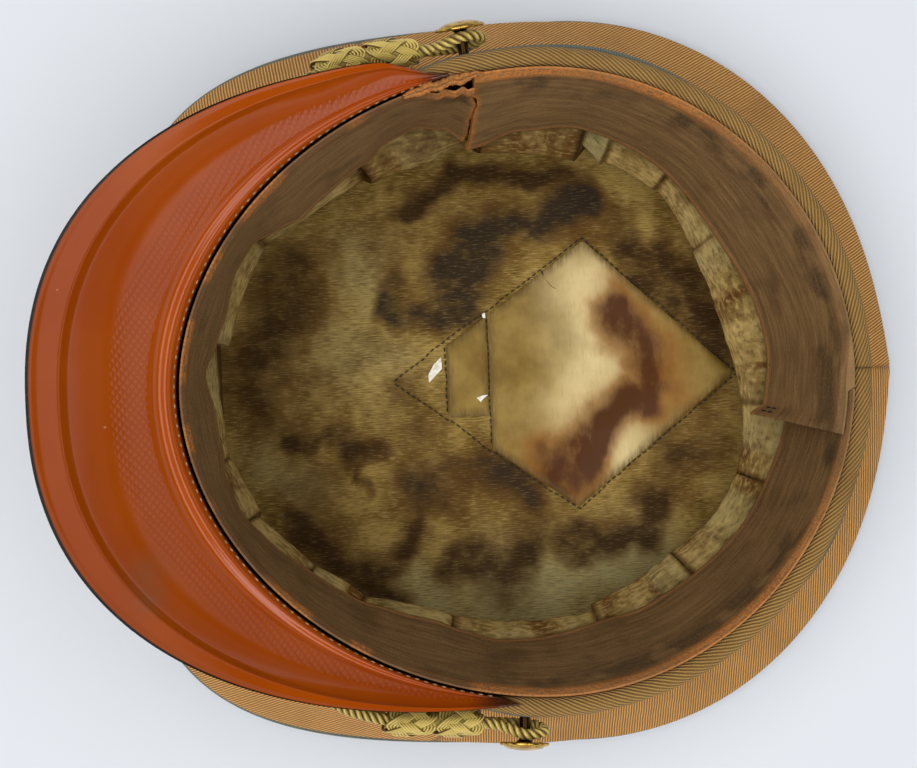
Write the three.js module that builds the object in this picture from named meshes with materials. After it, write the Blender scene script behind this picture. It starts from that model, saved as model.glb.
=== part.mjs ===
import * as THREE from "three";

// A visor cap lying upside down on its crown. Millimetres, +Z up, the visor towards -X and the
// wearer's left towards +Y. The origin is on the flat patch that the crown rests on, in the centre plane.
// Angles run round the head opening in degrees: 0 at the back, 90 at the wearer's left, 180 in front.

// Outlines: an egg of two half superellipses that meet at "widest", each with its own squareness
const RIM = { widest: 8, half: 87.2, back: 87.5, front: 103, squareBack: 1.97, squareFront: 1.92 };
const CROWN = { widest: 25.8, half: 112.2, back: 98.5, front: 138, squareBack: 2.06, squareFront: 3.8 };
// The worn crown's front half narrows by a share of its width and leans over to the wearer's right
const CROWN_WARP = { taper: 0.03, skew: 0.01 };

// The plane of the head opening, tipped towards the back
const RIM_CENTRE = new THREE.Vector3(10.7, 0, 78);
const RIM_TILT = 10;

// Band: a cloth wall with a rolled rim, finer where the visor is sewn over it
const BAND = { height: 42, outside: 3.9, wall: 2.4, neck: -6.2, roll: 2.75, rollCentre: 2.55 };
const VISOR_ROLL = { radius: 1.85, drop: 1.8 };

// How many stations go round the band, the pipings and the crown
const ROUND_STEPS = 60;

// Pipings: cords sewn into the rim's foot and the crown's edge
const PIPING_SIDES = 6;
const BAND_PIPING = { radius: 0.85, height: -5.8 };
const CROWN_PIPING = { radius: 1.25, z: 8.1 };
const PIPING_PEEKS = [
  { at: 76, spread: 14, out: 1.2 },
  { at: -33, spread: 10, out: 1.2 },
];

// Crown: a flat top with a soft shoulder, and four side quarters that puff out over the band
const CLOTH = 2;
const CROWN_SEAM = 3;
const CROWN_SHOULDER = [
  { scale: 0.45, rise: 0 },
  { scale: 0.8, rise: 0 },
  { scale: 0.9, rise: 1.6 },
  { scale: 0.955, rise: 4 },
];
const CROWN_EDGE = { low: 6, high: 7.8 };
const QUARTER_EDGE = { z: 8.6, grow: -3 };
const QUARTER_ROWS = 5;
const QUARTER_STEPS = 13;
const QUARTER_SEAM_GAP = 0.4;
const QUARTERS = [
  { name: "crown_quarter_back_left", from: 0, to: 102, puff: 4.5 },
  { name: "crown_quarter_front_left", from: 102, to: 180, puff: 5 },
  { name: "crown_quarter_front_right", from: 180, to: 263, puff: 5 },
  { name: "crown_quarter_back_right", from: 263, to: 360, puff: 4.5 },
];

// Visor: a fibre shell from the rim to a curved edge; its table runs from the root to the edge
const VISOR = { tip: -6, half: 87.8, depth: 130, slope: 13.2, square: 2.33, thick: 2, tipLift: 0.5 };
const VISOR_ROOT = { grow: 0.2, clear: 0 };
// Its arms: where each ends, how much shorter it is, and where the rim's roll sinks under it
const VISOR_ARMS = {
  left: { angle: 106, short: 11, from: 103, to: 112 },
  right: { angle: 101, short: 0, from: 96, to: 104 },
};
const VISOR_ARM_START = 0.75;
const VISOR_STEPS = 40;
const VISOR_DISH = 3;
const VISOR_PROFILE = [
  { across: 0, lift: 0 },
  { across: 0.07, lift: 0.3 },
  { across: 0.105, lift: 1 },
  { across: 0.15, lift: 0 },
  { across: 0.48, lift: 0 },
  { across: 0.84, lift: 0 },
  { across: 0.88, lift: 0.7 },
  { across: 1, lift: 0.6 },
];

// Sweatband: leather sewn under the rim, torn at the wearer's left and lapped over at the back.
// lean is how far the free edge has come in from the rim.
const LEATHER = { thick: 1.6, top: -0.6, height: 43, seat: 0.5, bow: 1.15 };
const LEATHER_HEIGHTS = [0, 0.25, 0.6, 1];
const SWEATBAND_MAIN = [
  { at: -259.6, lean: 12.5 },
  { at: -256, lean: 7.8 },
  { at: -251, lean: 5.4 },
  { at: -246, lean: 6.3 },
  { at: -239.5, lean: 9.4 },
  { at: -231, lean: 11 },
  { at: -223.5, lean: 11.8 },
  { at: -219.5, lean: 9.6 },
  { at: -214, lean: 6.2 },
  { at: -208, lean: 6.6 },
  { at: -198, lean: 9.7 },
  { at: -191.5, lean: 9.3 },
  { at: -185.5, lean: 7.6 },
  { at: -176, lean: 10.1 },
  { at: -168, lean: 9.9 },
  { at: -161, lean: 7.4 },
  { at: -153, lean: 6.3 },
  { at: -147, lean: 7.4 },
  { at: -136, lean: 9.3 },
  { at: -126, lean: 9.8 },
  { at: -119, lean: 11.3 },
  { at: -110, lean: 12.2 },
  { at: -105, lean: 11.2 },
  { at: -98, lean: 9.5 },
  { at: -90, lean: 9.8 },
  { at: -76, lean: 10.8 },
  { at: -62, lean: 8.8 },
  { at: -29, lean: 5.2 },
  { at: -4, lean: 3.2 },
];
const SWEATBAND_REAR = [
  { at: -11, lean: 10.5 },
  { at: 5, lean: 10 },
  { at: 31, lean: 11.8 },
  { at: 60, lean: 8.2 },
  { at: 74, lean: 8 },
  { at: 88, lean: 11.2 },
  { at: 99.9, lean: 15.5 },
];
const MAIN_STEPS = 48;
const REAR_STEPS = 24;
const LAP = { stand: 2.1, from: -3, to: 8, slant: 2.5 };

// Side lining: folded into pleats under the sweatband, one body each. start and end are how far a pleat's
// lip comes in from the rim at its two ends, bow adds to its middle, and lift raises its far end.
const PLEATS = [
  { from: -165, to: -151.5, start: 13, end: 13, bow: 0.6, lift: 1 },
  { from: -151.5, to: -136, start: 11.4, end: 13.2, bow: 1.2, lift: 1 },
  { from: -136, to: -124.5, start: 13.2, end: 13.4, bow: 1, lift: 1 },
  { from: -124.5, to: -106.5, start: 13, end: 16.4, bow: 1.6, lift: 1.2 },
  { from: -106.5, to: -74.5, start: 16, end: 15.3, bow: 0.6, lift: 1.4 },
  { from: -74.5, to: -50.5, start: 17, end: 18, bow: 0.4, lift: 1.4 },
  { from: -50.5, to: -25, start: 17.5, end: 14.8, bow: -0.6, lift: 1.4 },
  { from: -25, to: -8, start: 14.2, end: 18, bow: 0, lift: 0.4 },
  { from: -8, to: 34.5, start: 18.2, end: 20.8, bow: 3, lift: 0.4 },
  { from: 34.5, to: 52, start: 20, end: 15.2, bow: 0.5, lift: 1.6 },
  { from: 52, to: 66.5, start: 15.2, end: 15.8, bow: 0.4, lift: 1.4 },
  { from: 66.5, to: 73, start: 16.8, end: 13, bow: 0, lift: 1.6 },
  { from: 73, to: 97, start: 18.5, end: 18, bow: 0.6, lift: 0.8 },
  { from: 97, to: 120.5, start: 15, end: 17, bow: 1.4, lift: 1.4 },
  { from: 120.5, to: 144, start: 14.8, end: 11.6, bow: 1.6, lift: 1 },
  { from: 144, to: 168, start: 11.2, end: 15, bow: 1, lift: 0.8 },
  { from: 168, to: 195, start: 10.8, end: 12.6, bow: 2, lift: 0.8 },
];
const PLEAT_STEP = 9;
const PLEAT_GAP = 0.8;
const LINING = { thick: 1.2, top: -36, under: -45.2, shelf: -46, lip: -48.6, lipRoll: 3.5 };
const LINING_BELLY = { at: 0.5, out: 2.5 };

// Top lining, a satin disc on the crown, with what is left of the sweat shield sewn on it
const TOP_LINING = { z: 2.5, thick: 1.2, scale: 0.76, steps: 44 };
const SIDE_FOOT_SCALE = 0.735;
const SHIELD_THICK = 0.8;
const SHIELD_MAIN = {
  left: 1.6,
  leftTop: 21.6,
  leftFoot: -20.6,
  top: [32.6, 43.7],
  right: [78.3, 0.4],
  foot: [28, -39.7],
};
const SHIELD_STRIP = { left: -11.8, right: 1.2, leftTop: 12.4, rightTop: 21.2, foot: -10 };

// Chin cord: one loop round both buttons, its two runs one above the other, through a slide on each side
const CORD = { radius: 1.6, height: -12, spacing: 4, sides: 6, turn: 3.5, loop: 5.6, splay: 1.9 };
// stand is how far the cord lies outside the rim's inner edge, at so many degrees from the front: it runs
// straight on from the buttons before it bends in under the visor.
const CORD_STAND = [
  { at: 20, stand: 5.8 },
  { at: 58, stand: 16.2 },
  { at: 79, stand: 9.3 },
];
const CORD_RUN = { lead: 4.5, points: 22 };
const CORD_STATIONS_PER_POINT = 2;
const SLIDES = [
  { name: "cord_slide_left", from: 107.5, to: 122 },
  { name: "cord_slide_right", from: 257.5, to: 244 },
];
const SLIDE = { boreOut: 2.5, boreUp: 4.5, outOut: 4.4, outUp: 6.4, waist: 0.82, rows: 7, sides: 10 };
const BUTTONS = [
  { name: "button_left", at: 101 },
  { name: "button_right", at: 264 },
];
const BUTTON = { radius: 7, shank: 1.5, shankLength: 9.2, rim: 1, dome: 1.6, lean: 10, clear: 0.8 };
const BUTTON_STEPS = { sides: 14, dome: 4 };

const GAP = 0.4;

// Materials
const finish = (color, roughness, metalness = 0) => ({ color, roughness, metalness });
const CROWN_TWILL = finish(0xb07c46, 0.9);
const BAND_TWILL = finish(0x967846, 0.9);
const PIPING_CLOTH = finish(0x78969f, 0.85);
const LACQUER = finish(0xa04a10, 0.3);
const SWEAT_LEATHER = finish(0x5f442a, 0.7);
const SATIN = finish(0x82693a, 0.6);
const CELLULOID = finish(0xa88a52, 0.25);
const GOLD_WIRE = finish(0xd7b964, 0.4, 0.6);
const GILT = finish(0xc9a13c, 0.3, 0.9);

const radians = THREE.MathUtils.degToRad;
const lerp = THREE.MathUtils.lerp;

function fractions(count) {
  return Array.from({ length: count + 1 }, (_, i) => i / count);
}

// The same without the last, for what closes on itself
function turns(count) {
  return fractions(count).slice(0, -1);
}

// The angle as a value from -180 to 180
function wrapped(angle) {
  return THREE.MathUtils.euclideanModulo(angle + 180, 360) - 180;
}

// A smooth reading between the rows of a table with an "at" column
function reading(table, column, at) {
  const last = table.length - 1;
  const next = THREE.MathUtils.clamp(table.findIndex((row) => row.at >= at), 0, last);
  const after = at > table[last].at ? last : next;
  const before = Math.max(after - 1, 0);
  const blend = THREE.MathUtils.smoothstep(at, table[before].at, table[after].at);
  return lerp(table[before][column], table[after][column], blend);
}

function egg(shape, grow, angle) {
  const c = Math.cos(radians(angle));
  const s = Math.sin(radians(angle));
  const power = 2 / (c >= 0 ? shape.squareBack : shape.squareFront);
  const reach = c >= 0 ? shape.back + grow : -shape.front - grow;
  const across = (shape.half + grow) * Math.sign(s) * Math.abs(s) ** power;
  return new THREE.Vector2(shape.widest + reach * Math.abs(c) ** power, across);
}

// A point at a height over the rim's plane, "grow" outside the rim's inner edge, in the band's own frame
function rimPoint(angle, grow, height) {
  const { x, y } = egg(RIM, grow, angle);
  return new THREE.Vector3(x, y, height);
}

const bandFrame = new THREE.Group();
bandFrame.position.copy(RIM_CENTRE);
bandFrame.rotation.y = radians(RIM_TILT);
bandFrame.updateMatrix();

// The same point in the cap's frame
function capPoint(angle, grow, height) {
  return rimPoint(angle, grow, height).applyMatrix4(bandFrame.matrix);
}

// A point of the crown's outline, shrunk towards the origin by "scale"
function crownPoint(angle, grow, z, scale = 1) {
  const { x, y } = egg(CROWN, grow, angle);
  const ahead = Math.max(0, CROWN.widest - x);
  const across = y * (1 - (CROWN_WARP.taper * ahead) / CROWN.front) - CROWN_WARP.skew * ahead;
  return new THREE.Vector3(x * scale, across * scale, z);
}

// A geometry from points and triangles, with its faces turned outwards
function closedGeometry(points, triangles) {
  const volume = triangles.reduce(
    (sum, [a, b, c]) => sum + points[a].dot(points[b].clone().cross(points[c])),
    0,
  );
  const faces = volume > 0 ? triangles : triangles.map(([a, b, c]) => [a, c, b]);
  const geometry = new THREE.BufferGeometry().setFromPoints(points);
  geometry.setIndex(faces.flat());
  geometry.computeVertexNormals();
  return geometry;
}

function quad(a, b, c, d) {
  return [[a, b, c], [a, c, d]];
}

// The sides of a body whose rings of points follow each other
function ringSides(count, size, looped) {
  const triangles = [];
  for (let i = 0; i < (looped ? count : count - 1); i += 1) {
    const here = i * size;
    const next = ((i + 1) % count) * size;
    for (let k = 0; k < size; k += 1) {
      const after = (k + 1) % size;
      triangles.push(...quad(here + k, here + after, next + after, next + k));
    }
  }
  return triangles;
}

// A closed ring, such as a band or a piping, from its sections
function loopBody(sections) {
  return closedGeometry(sections.flat(), ringSides(sections.length, sections[0].length, true));
}

// A closed sheet from rows that each have a face and a back; an open one is capped at both ends
function sheetBody(rows, looped = false) {
  const rings = rows.map(({ face, back }) => [...face, ...back.toReversed()]);
  const size = rings[0].length;
  const triangles = ringSides(rings.length, size, looped);
  const end = looped ? 0 : (rings.length - 1) * size;
  for (let k = 0; end > 0 && k < size / 2 - 1; k += 1) {
    const mate = size - 1 - k;
    triangles.push(...quad(k, mate, mate - 1, k + 1));
    triangles.push(...quad(end + k, end + k + 1, end + mate - 1, end + mate));
  }
  return closedGeometry(rings.flat(), triangles);
}

// A closed disc from rings that start round the first pole and end round the last
function discBody(firstPole, rings, lastPole) {
  const size = rings[0].length;
  const points = [...rings.flat(), firstPole, lastPole];
  const triangles = ringSides(rings.length, size, false);
  const first = points.length - 2;
  const lastRing = (rings.length - 1) * size;
  for (let k = 0; k < size; k += 1) {
    const after = (k + 1) % size;
    triangles.push([first, after, k]);
    triangles.push([first + 1, lastRing + k, lastRing + after]);
  }
  return closedGeometry(points, triangles);
}

function add(parent, name, geometry, { color, roughness, metalness }) {
  const mesh = new THREE.Mesh(geometry, new THREE.MeshStandardMaterial({ color, roughness, metalness }));
  mesh.name = name;
  parent.add(mesh);
  return mesh;
}

// 0 where the rim shows its full roll, 1 where the visor covers it
function underVisor(angle) {
  const here = wrapped(angle);
  const { from, to } = here > 0 ? VISOR_ARMS.left : VISOR_ARMS.right;
  return THREE.MathUtils.smoothstep(Math.abs(here), from, to);
}

function rollTop(angle) {
  return -VISOR_ROLL.drop * underVisor(angle);
}

function bandSection(angle) {
  const radius = lerp(BAND.roll, VISOR_ROLL.radius, underVisor(angle));
  const top = rollTop(angle);
  const middle = (BAND.neck - BAND.height) / 2;
  const inside = BAND.outside - BAND.wall;
  const at = (grow, height) => rimPoint(angle, grow, height);
  const roll = [0, 45, 90, 135, 180, 225].map((turn) => at(
    BAND.rollCentre + radius * Math.cos(radians(turn)),
    top - radius + radius * Math.sin(radians(turn)),
  ));
  const outer = [-BAND.height, middle, BAND.neck].map((height) => at(BAND.outside, height));
  const inner = [BAND.neck, middle, -BAND.height].map((height) => at(inside, height));
  return [...outer, ...roll, ...inner];
}

function band() {
  return loopBody(turns(ROUND_STEPS).map((f) => bandSection(360 * f)));
}

// A round cord in a loop; pointAt places a point of its section, out and up from the cord's middle
function pipingBody(radius, pointAt) {
  return loopBody(turns(ROUND_STEPS).map((f) => (
    turns(PIPING_SIDES).map((side) => {
      const turn = 2 * Math.PI * side;
      return pointAt(360 * f, radius * Math.cos(turn), radius * Math.sin(turn));
    })
  )));
}

// How far the rim's piping shows past the roll, here and there
function pipingPeek(angle) {
  return PIPING_PEEKS.reduce(
    (sum, { at, spread, out }) => sum + out * Math.exp(-(((wrapped(angle) - at) / spread) ** 2)),
    0,
  );
}

function bandPiping() {
  const seat = BAND.outside + GAP + BAND_PIPING.radius;
  return pipingBody(BAND_PIPING.radius, (angle, out, up) => (
    rimPoint(angle, seat + pipingPeek(angle) + out, BAND_PIPING.height + up)
  ));
}

function crownPiping() {
  const seat = -CROWN_PIPING.radius;
  return pipingBody(CROWN_PIPING.radius, (angle, out, up) => (
    crownPoint(angle, seat + out, CROWN_PIPING.z + up)
  ));
}

function crownTop() {
  const angles = turns(ROUND_STEPS).map((f) => 360 * f);
  const ring = (z, scale) => angles.map((angle) => crownPoint(angle, 0, z, scale));
  const edge = (z) => angles.map((angle) => crownPoint(angle, -CROWN_SEAM, z));
  const under = CROWN_SHOULDER.map(({ scale, rise }) => ring(rise, scale));
  const over = CROWN_SHOULDER.toReversed().map(({ scale, rise }) => ring(rise + CLOTH, scale));
  const rings = [...under, edge(CROWN_EDGE.low), edge(CROWN_EDGE.high), ...over];
  return discBody(new THREE.Vector3(), rings, new THREE.Vector3(0, 0, CLOTH));
}

// One station of a quarter, from the band's foot out and down to the crown's edge
function quarterRow(angle, puff) {
  const start = capPoint(angle, BAND.outside, -BAND.height - GAP);
  const end = crownPoint(angle, QUARTER_EDGE.grow, QUARTER_EDGE.z + CLOTH);
  const along = end.clone().sub(start);
  const flat = Math.hypot(along.x, along.y);
  const normal = new THREE.Vector3(
    (along.x / flat) * -along.z,
    (along.y / flat) * -along.z,
    flat,
  ).normalize();
  const face = fractions(QUARTER_ROWS - 1).map((f) => (
    start.clone().addScaledVector(along, f).addScaledVector(normal, puff * Math.sin(Math.PI * f))
  ));
  const back = face.map((point) => point.clone().addScaledVector(normal, -CLOTH));
  back[QUARTER_ROWS - 1] = crownPoint(angle, QUARTER_EDGE.grow, QUARTER_EDGE.z);
  return { face, back };
}

// A quarter between two seams, its ends drawn back to leave the seam's gap
function crownQuarter({ from, to, puff }) {
  return sheetBody(fractions(QUARTER_STEPS).map((f) => {
    const angle = lerp(from, to, f);
    const row = quarterRow(angle, puff);
    const inset = { 0: QUARTER_SEAM_GAP / 2, 1: -QUARTER_SEAM_GAP / 2 }[f] ?? 0;
    const shift = sideFrame(angle).along.multiplyScalar(inset);
    [...row.face, ...row.back].forEach((point) => point.add(shift));
    return row;
  }));
}

// The visor's outer edge, side running from -1 at the wearer's right tip to 1 at the left tip
function visorEdge(side, { short }) {
  const turn = (side * Math.PI) / 2;
  const power = 2 / VISOR.square;
  const ahead = VISOR.depth * Math.abs(Math.cos(turn)) ** power;
  const across = VISOR.half * Math.sign(side) * Math.abs(Math.sin(turn)) ** power;
  const slope = radians(VISOR.slope);
  const drawn = short * THREE.MathUtils.smoothstep(Math.abs(side), VISOR_ARM_START, 1);
  return new THREE.Vector3(
    VISOR.tip - drawn - ahead * Math.cos(slope),
    across,
    VISOR.tipLift + ahead * Math.sin(slope),
  );
}

function visorRow(side) {
  const arm = side > 0 ? VISOR_ARMS.left : VISOR_ARMS.right;
  const angle = lerp(180, arm.angle, Math.abs(side)) * (side < 0 ? -1 : 1);
  const root = rimPoint(angle, VISOR_ROOT.grow, rollTop(angle) + VISOR_ROOT.clear);
  const edge = visorEdge(side, arm);
  const fade = Math.min(1, root.distanceTo(edge) / (VISOR.depth / 3));
  const shell = (across, lift) => {
    const point = root.clone().lerp(edge, across);
    point.z += lift - VISOR_DISH * fade * Math.sin(Math.PI * across);
    return point;
  };
  return {
    face: VISOR_PROFILE.map(({ across, lift }) => shell(across, VISOR.thick + lift * fade)),
    back: VISOR_PROFILE.map(({ across }) => shell(across, 0)),
  };
}

function visor() {
  return sheetBody(fractions(VISOR_STEPS).map((f) => visorRow(2 * f - 1)));
}

// The sweatband's outside at a share of its height below the rim; stand holds a lapped end off the other
function leatherGrow(lean, stand, share) {
  return -LEATHER.seat - stand - (lean - LEATHER.seat - stand) * share ** LEATHER.bow;
}

function leatherRow(angle, slant, lean, stand) {
  const row = (inset) => LEATHER_HEIGHTS.map((share) => rimPoint(
    angle + slant * share,
    leatherGrow(lean, stand, share) - inset,
    lerp(LEATHER.top, -LEATHER.height, share),
  ));
  return { face: row(LEATHER.thick), back: row(0) };
}

function lapStand(angle) {
  return LAP.stand * (1 - THREE.MathUtils.smoothstep(angle, LAP.from, LAP.to));
}

function sweatbandMain() {
  const first = SWEATBAND_MAIN[0].at;
  const last = SWEATBAND_MAIN.at(-1).at;
  return sheetBody(fractions(MAIN_STEPS).map((f) => {
    const angle = lerp(first, last, f);
    return leatherRow(angle, 0, reading(SWEATBAND_MAIN, "lean", angle), 0);
  }));
}

function sweatbandRear() {
  const first = SWEATBAND_REAR[0].at;
  const last = SWEATBAND_REAR.at(-1).at;
  return sheetBody(fractions(REAR_STEPS).map((f) => {
    const angle = lerp(first, last, f);
    const lean = reading(SWEATBAND_REAR, "lean", angle);
    return leatherRow(angle, LAP.slant * (1 - f) ** 4, lean, lapStand(angle));
  }));
}

// How far the sweatband's free edge has come in at an angle, whichever strip is there
function leatherLean(angle) {
  const here = wrapped(angle);
  const tear = SWEATBAND_REAR.at(-1).at;
  if (here > LAP.to && here < tear) {
    return reading(SWEATBAND_REAR, "lean", here);
  }
  return reading(SWEATBAND_MAIN, "lean", here < tear ? here : here - 360);
}

// One station of the side lining: from behind the sweatband, under its edge, in to the pleat's lip,
// and down to the top lining
function pleatRow(pleat, f) {
  const angle = lerp(pleat.from + PLEAT_GAP / 2, pleat.to - PLEAT_GAP / 2, f);
  const reach = lerp(pleat.start, pleat.end, f) + pleat.bow * Math.sin(Math.PI * f);
  const rise = pleat.lift * f;
  const lean = leatherLean(angle);
  const leatherHere = leatherGrow(lean, 0, -LINING.top / LEATHER.height);
  const behind = (leatherHere + BAND.outside - BAND.wall) / 2;
  const shelf = Math.min(-lean, -reach + LINING.lipRoll);
  const lip = capPoint(angle, -reach, LINING.lip + rise);
  const foot = crownPoint(angle, 0, TOP_LINING.z + TOP_LINING.thick + GAP, SIDE_FOOT_SCALE);
  const belly = lip.clone().lerp(foot, LINING_BELLY.at);
  const outward = new THREE.Vector3(foot.x - lip.x, foot.y - lip.y, 0).normalize();
  belly.addScaledVector(outward, LINING_BELLY.out);
  const face = [
    capPoint(angle, behind - LINING.thick / 2, LINING.top),
    capPoint(angle, Math.min(behind, 1 - lean) - LINING.thick / 2, LINING.under),
    capPoint(angle, shelf, LINING.shelf + rise),
    lip,
    belly,
    foot,
  ];
  const back = [
    capPoint(angle, behind + LINING.thick / 2, LINING.top),
    capPoint(angle, Math.min(behind, 1 - lean) + LINING.thick / 2, LINING.under - LINING.thick),
    capPoint(angle, shelf + LINING.thick / 2, LINING.shelf + rise - LINING.thick),
    lip.clone().addScaledVector(outward, LINING.thick),
    belly.clone().addScaledVector(outward, LINING.thick),
    foot.clone().addScaledVector(outward, LINING.thick),
  ];
  return { face, back };
}

function liningPleat(pleat) {
  const steps = Math.max(2, Math.ceil((pleat.to - pleat.from) / PLEAT_STEP));
  return sheetBody(fractions(steps).map((f) => pleatRow(pleat, f)));
}

function liningTop() {
  const angles = turns(TOP_LINING.steps).map((f) => 360 * f);
  const ring = (z, scale) => angles.map((angle) => crownPoint(angle, 0, z, scale));
  const low = TOP_LINING.z;
  const high = low + TOP_LINING.thick;
  const full = TOP_LINING.scale;
  const rings = [ring(low, full / 2), ring(low, full), ring(high, full), ring(high, full / 2)];
  return discBody(new THREE.Vector3(0, 0, low), rings, new THREE.Vector3(0, 0, high));
}

// A flat celluloid piece that lies on the top lining
function plate(corners) {
  const shape = new THREE.Shape(corners.map(([x, y]) => new THREE.Vector2(x, y)));
  const geometry = new THREE.ExtrudeGeometry(shape, { depth: SHIELD_THICK, bevelEnabled: false });
  return geometry.translate(0, 0, TOP_LINING.z + TOP_LINING.thick + GAP);
}

function shieldMain() {
  const { left, leftTop, leftFoot, top, right, foot } = SHIELD_MAIN;
  return plate([[left, leftFoot], foot, right, top, [left, leftTop]]);
}

function shieldStrip() {
  const { left, right, leftTop, rightTop, foot } = SHIELD_STRIP;
  return plate([[left, foot], [right, foot], [right, rightTop], [left, leftTop]]);
}

// How far the cord's middle stands off the rim's inner edge: out at the sides, in at the front
function cordStand(angle) {
  return reading(CORD_STAND, "stand", Math.abs(wrapped(angle - 180)));
}

// The ways along the rim, out from the cap and up at an angle, all in the band's frame
function sideFrame(angle) {
  const along = rimPoint(angle + 1, 0, 0).sub(rimPoint(angle - 1, 0, 0)).normalize();
  const up = new THREE.Vector3(0, 0, 1);
  return { along, up, out: along.clone().cross(up) };
}

// The cord's turn round a button's shank, its upper side splayed out; way is 1 where the upper run arrives
function cordTurn({ at }, way) {
  const { along, up, out } = sideFrame(at);
  const stand = cordStand(at);
  const lift = (stand - BAND.outside - BUTTON.clear) * Math.tan(radians(BUTTON.lean));
  const centre = rimPoint(at, stand, CORD.height + lift);
  return [90, 45, 0, -45, -90].map((turn) => (
    centre.clone()
      .addScaledVector(along, way * CORD.loop * Math.cos(radians(turn)))
      .addScaledVector(up, way * CORD.turn * Math.sin(radians(turn)))
      .addScaledVector(out, (CORD.splay * (1 + way * Math.sin(radians(turn)))) / 2)
  ));
}

function cordRun(from, to, height) {
  return fractions(CORD_RUN.points).map((f) => {
    const angle = lerp(from, to, f);
    return rimPoint(angle, cordStand(angle), height);
  });
}

function chinCord() {
  const [left, right] = BUTTONS;
  const from = left.at + CORD_RUN.lead;
  const to = right.at - CORD_RUN.lead;
  const upper = cordRun(from, to, CORD.height + CORD.spacing / 2);
  const lower = cordRun(to, from, CORD.height - CORD.spacing / 2);
  const route = [...upper, ...cordTurn(right, 1), ...lower, ...cordTurn(left, -1)];
  const curve = new THREE.CatmullRomCurve3(route, true, "centripetal");
  return loopBody(turns(route.length * CORD_STATIONS_PER_POINT).map((f) => {
    const middle = curve.getPoint(f);
    const tangent = curve.getTangent(f);
    const out = new THREE.Vector3(middle.x - RIM.widest, middle.y, 0).normalize();
    const side = tangent.clone().cross(out).normalize();
    const normal = side.clone().cross(tangent);
    return turns(CORD.sides).map((turn) => (
      middle.clone()
        .addScaledVector(normal, CORD.radius * Math.cos(2 * Math.PI * turn))
        .addScaledVector(side, CORD.radius * Math.sin(2 * Math.PI * turn))
    ));
  }));
}

// A slide: a woven sleeve of two lobes round both runs of the cord
function cordSlide({ from, to }) {
  return sheetBody(turns(SLIDE.sides).map((side) => {
    const turn = 2 * Math.PI * side;
    const row = (outRadius, upRadius, swell) => fractions(SLIDE.rows - 1).map((f) => {
      const angle = lerp(from, to, f);
      const size = swell ? lerp(SLIDE.waist, 1, Math.abs(Math.sin(2 * Math.PI * f))) : 1;
      const grow = cordStand(angle) + size * outRadius * Math.cos(turn);
      return rimPoint(angle, grow, CORD.height + size * upRadius * Math.sin(turn));
    });
    return {
      face: row(SLIDE.outOut, SLIDE.outUp, true),
      back: row(SLIDE.boreOut, SLIDE.boreUp, false),
    };
  }), true);
}

// A button on its shank, turned about Y and then pointed out of the band and a little up
function button() {
  const { radius, shank, shankLength, rim, dome } = BUTTON;
  const face = fractions(BUTTON_STEPS.dome).map((f) => new THREE.Vector2(
    radius * Math.cos((Math.PI / 2) * f),
    shankLength + rim + dome * Math.sin((Math.PI / 2) * f),
  ));
  face[BUTTON_STEPS.dome].x = 0;
  const profile = [
    new THREE.Vector2(0, 0),
    new THREE.Vector2(shank, 0),
    new THREE.Vector2(shank, shankLength),
    new THREE.Vector2(radius, shankLength),
    ...face,
  ];
  return new THREE.LatheGeometry(profile, BUTTON_STEPS.sides);
}

function placeButton(mesh, { at }) {
  const { out, up } = sideFrame(at);
  const axis = out.multiplyScalar(Math.cos(radians(BUTTON.lean)));
  axis.addScaledVector(up, Math.sin(radians(BUTTON.lean)));
  mesh.position.copy(rimPoint(at, BAND.outside + BUTTON.clear, CORD.height));
  mesh.quaternion.setFromUnitVectors(new THREE.Vector3(0, 1, 0), axis);
}

const cap = new THREE.Group();
cap.add(bandFrame);

add(cap, "crown_top", crownTop(), CROWN_TWILL);
for (const quarter of QUARTERS) {
  add(cap, quarter.name, crownQuarter(quarter), CROWN_TWILL);
}
add(cap, "crown_piping", crownPiping(), PIPING_CLOTH);
add(cap, "lining_top", liningTop(), SATIN);
PLEATS.forEach((pleat, k) => {
  add(cap, `lining_pleat_${String(k + 1).padStart(2, "0")}`, liningPleat(pleat), SATIN);
});
add(cap, "sweat_shield", shieldMain(), CELLULOID);
add(cap, "sweat_shield_strip", shieldStrip(), CELLULOID);
add(bandFrame, "band", band(), BAND_TWILL);
add(bandFrame, "band_piping", bandPiping(), PIPING_CLOTH);
add(bandFrame, "visor", visor(), LACQUER);
add(bandFrame, "sweatband_main", sweatbandMain(), SWEAT_LEATHER);
add(bandFrame, "sweatband_rear", sweatbandRear(), SWEAT_LEATHER);
add(bandFrame, "chin_cord", chinCord(), GOLD_WIRE);
for (const slide of SLIDES) {
  add(bandFrame, slide.name, cordSlide(slide), GOLD_WIRE);
}
for (const place of BUTTONS) {
  placeButton(add(bandFrame, place.name, button(), GILT), place);
}

export default cap;
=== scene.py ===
import math
from collections import namedtuple
from types import SimpleNamespace as Sizes

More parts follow.
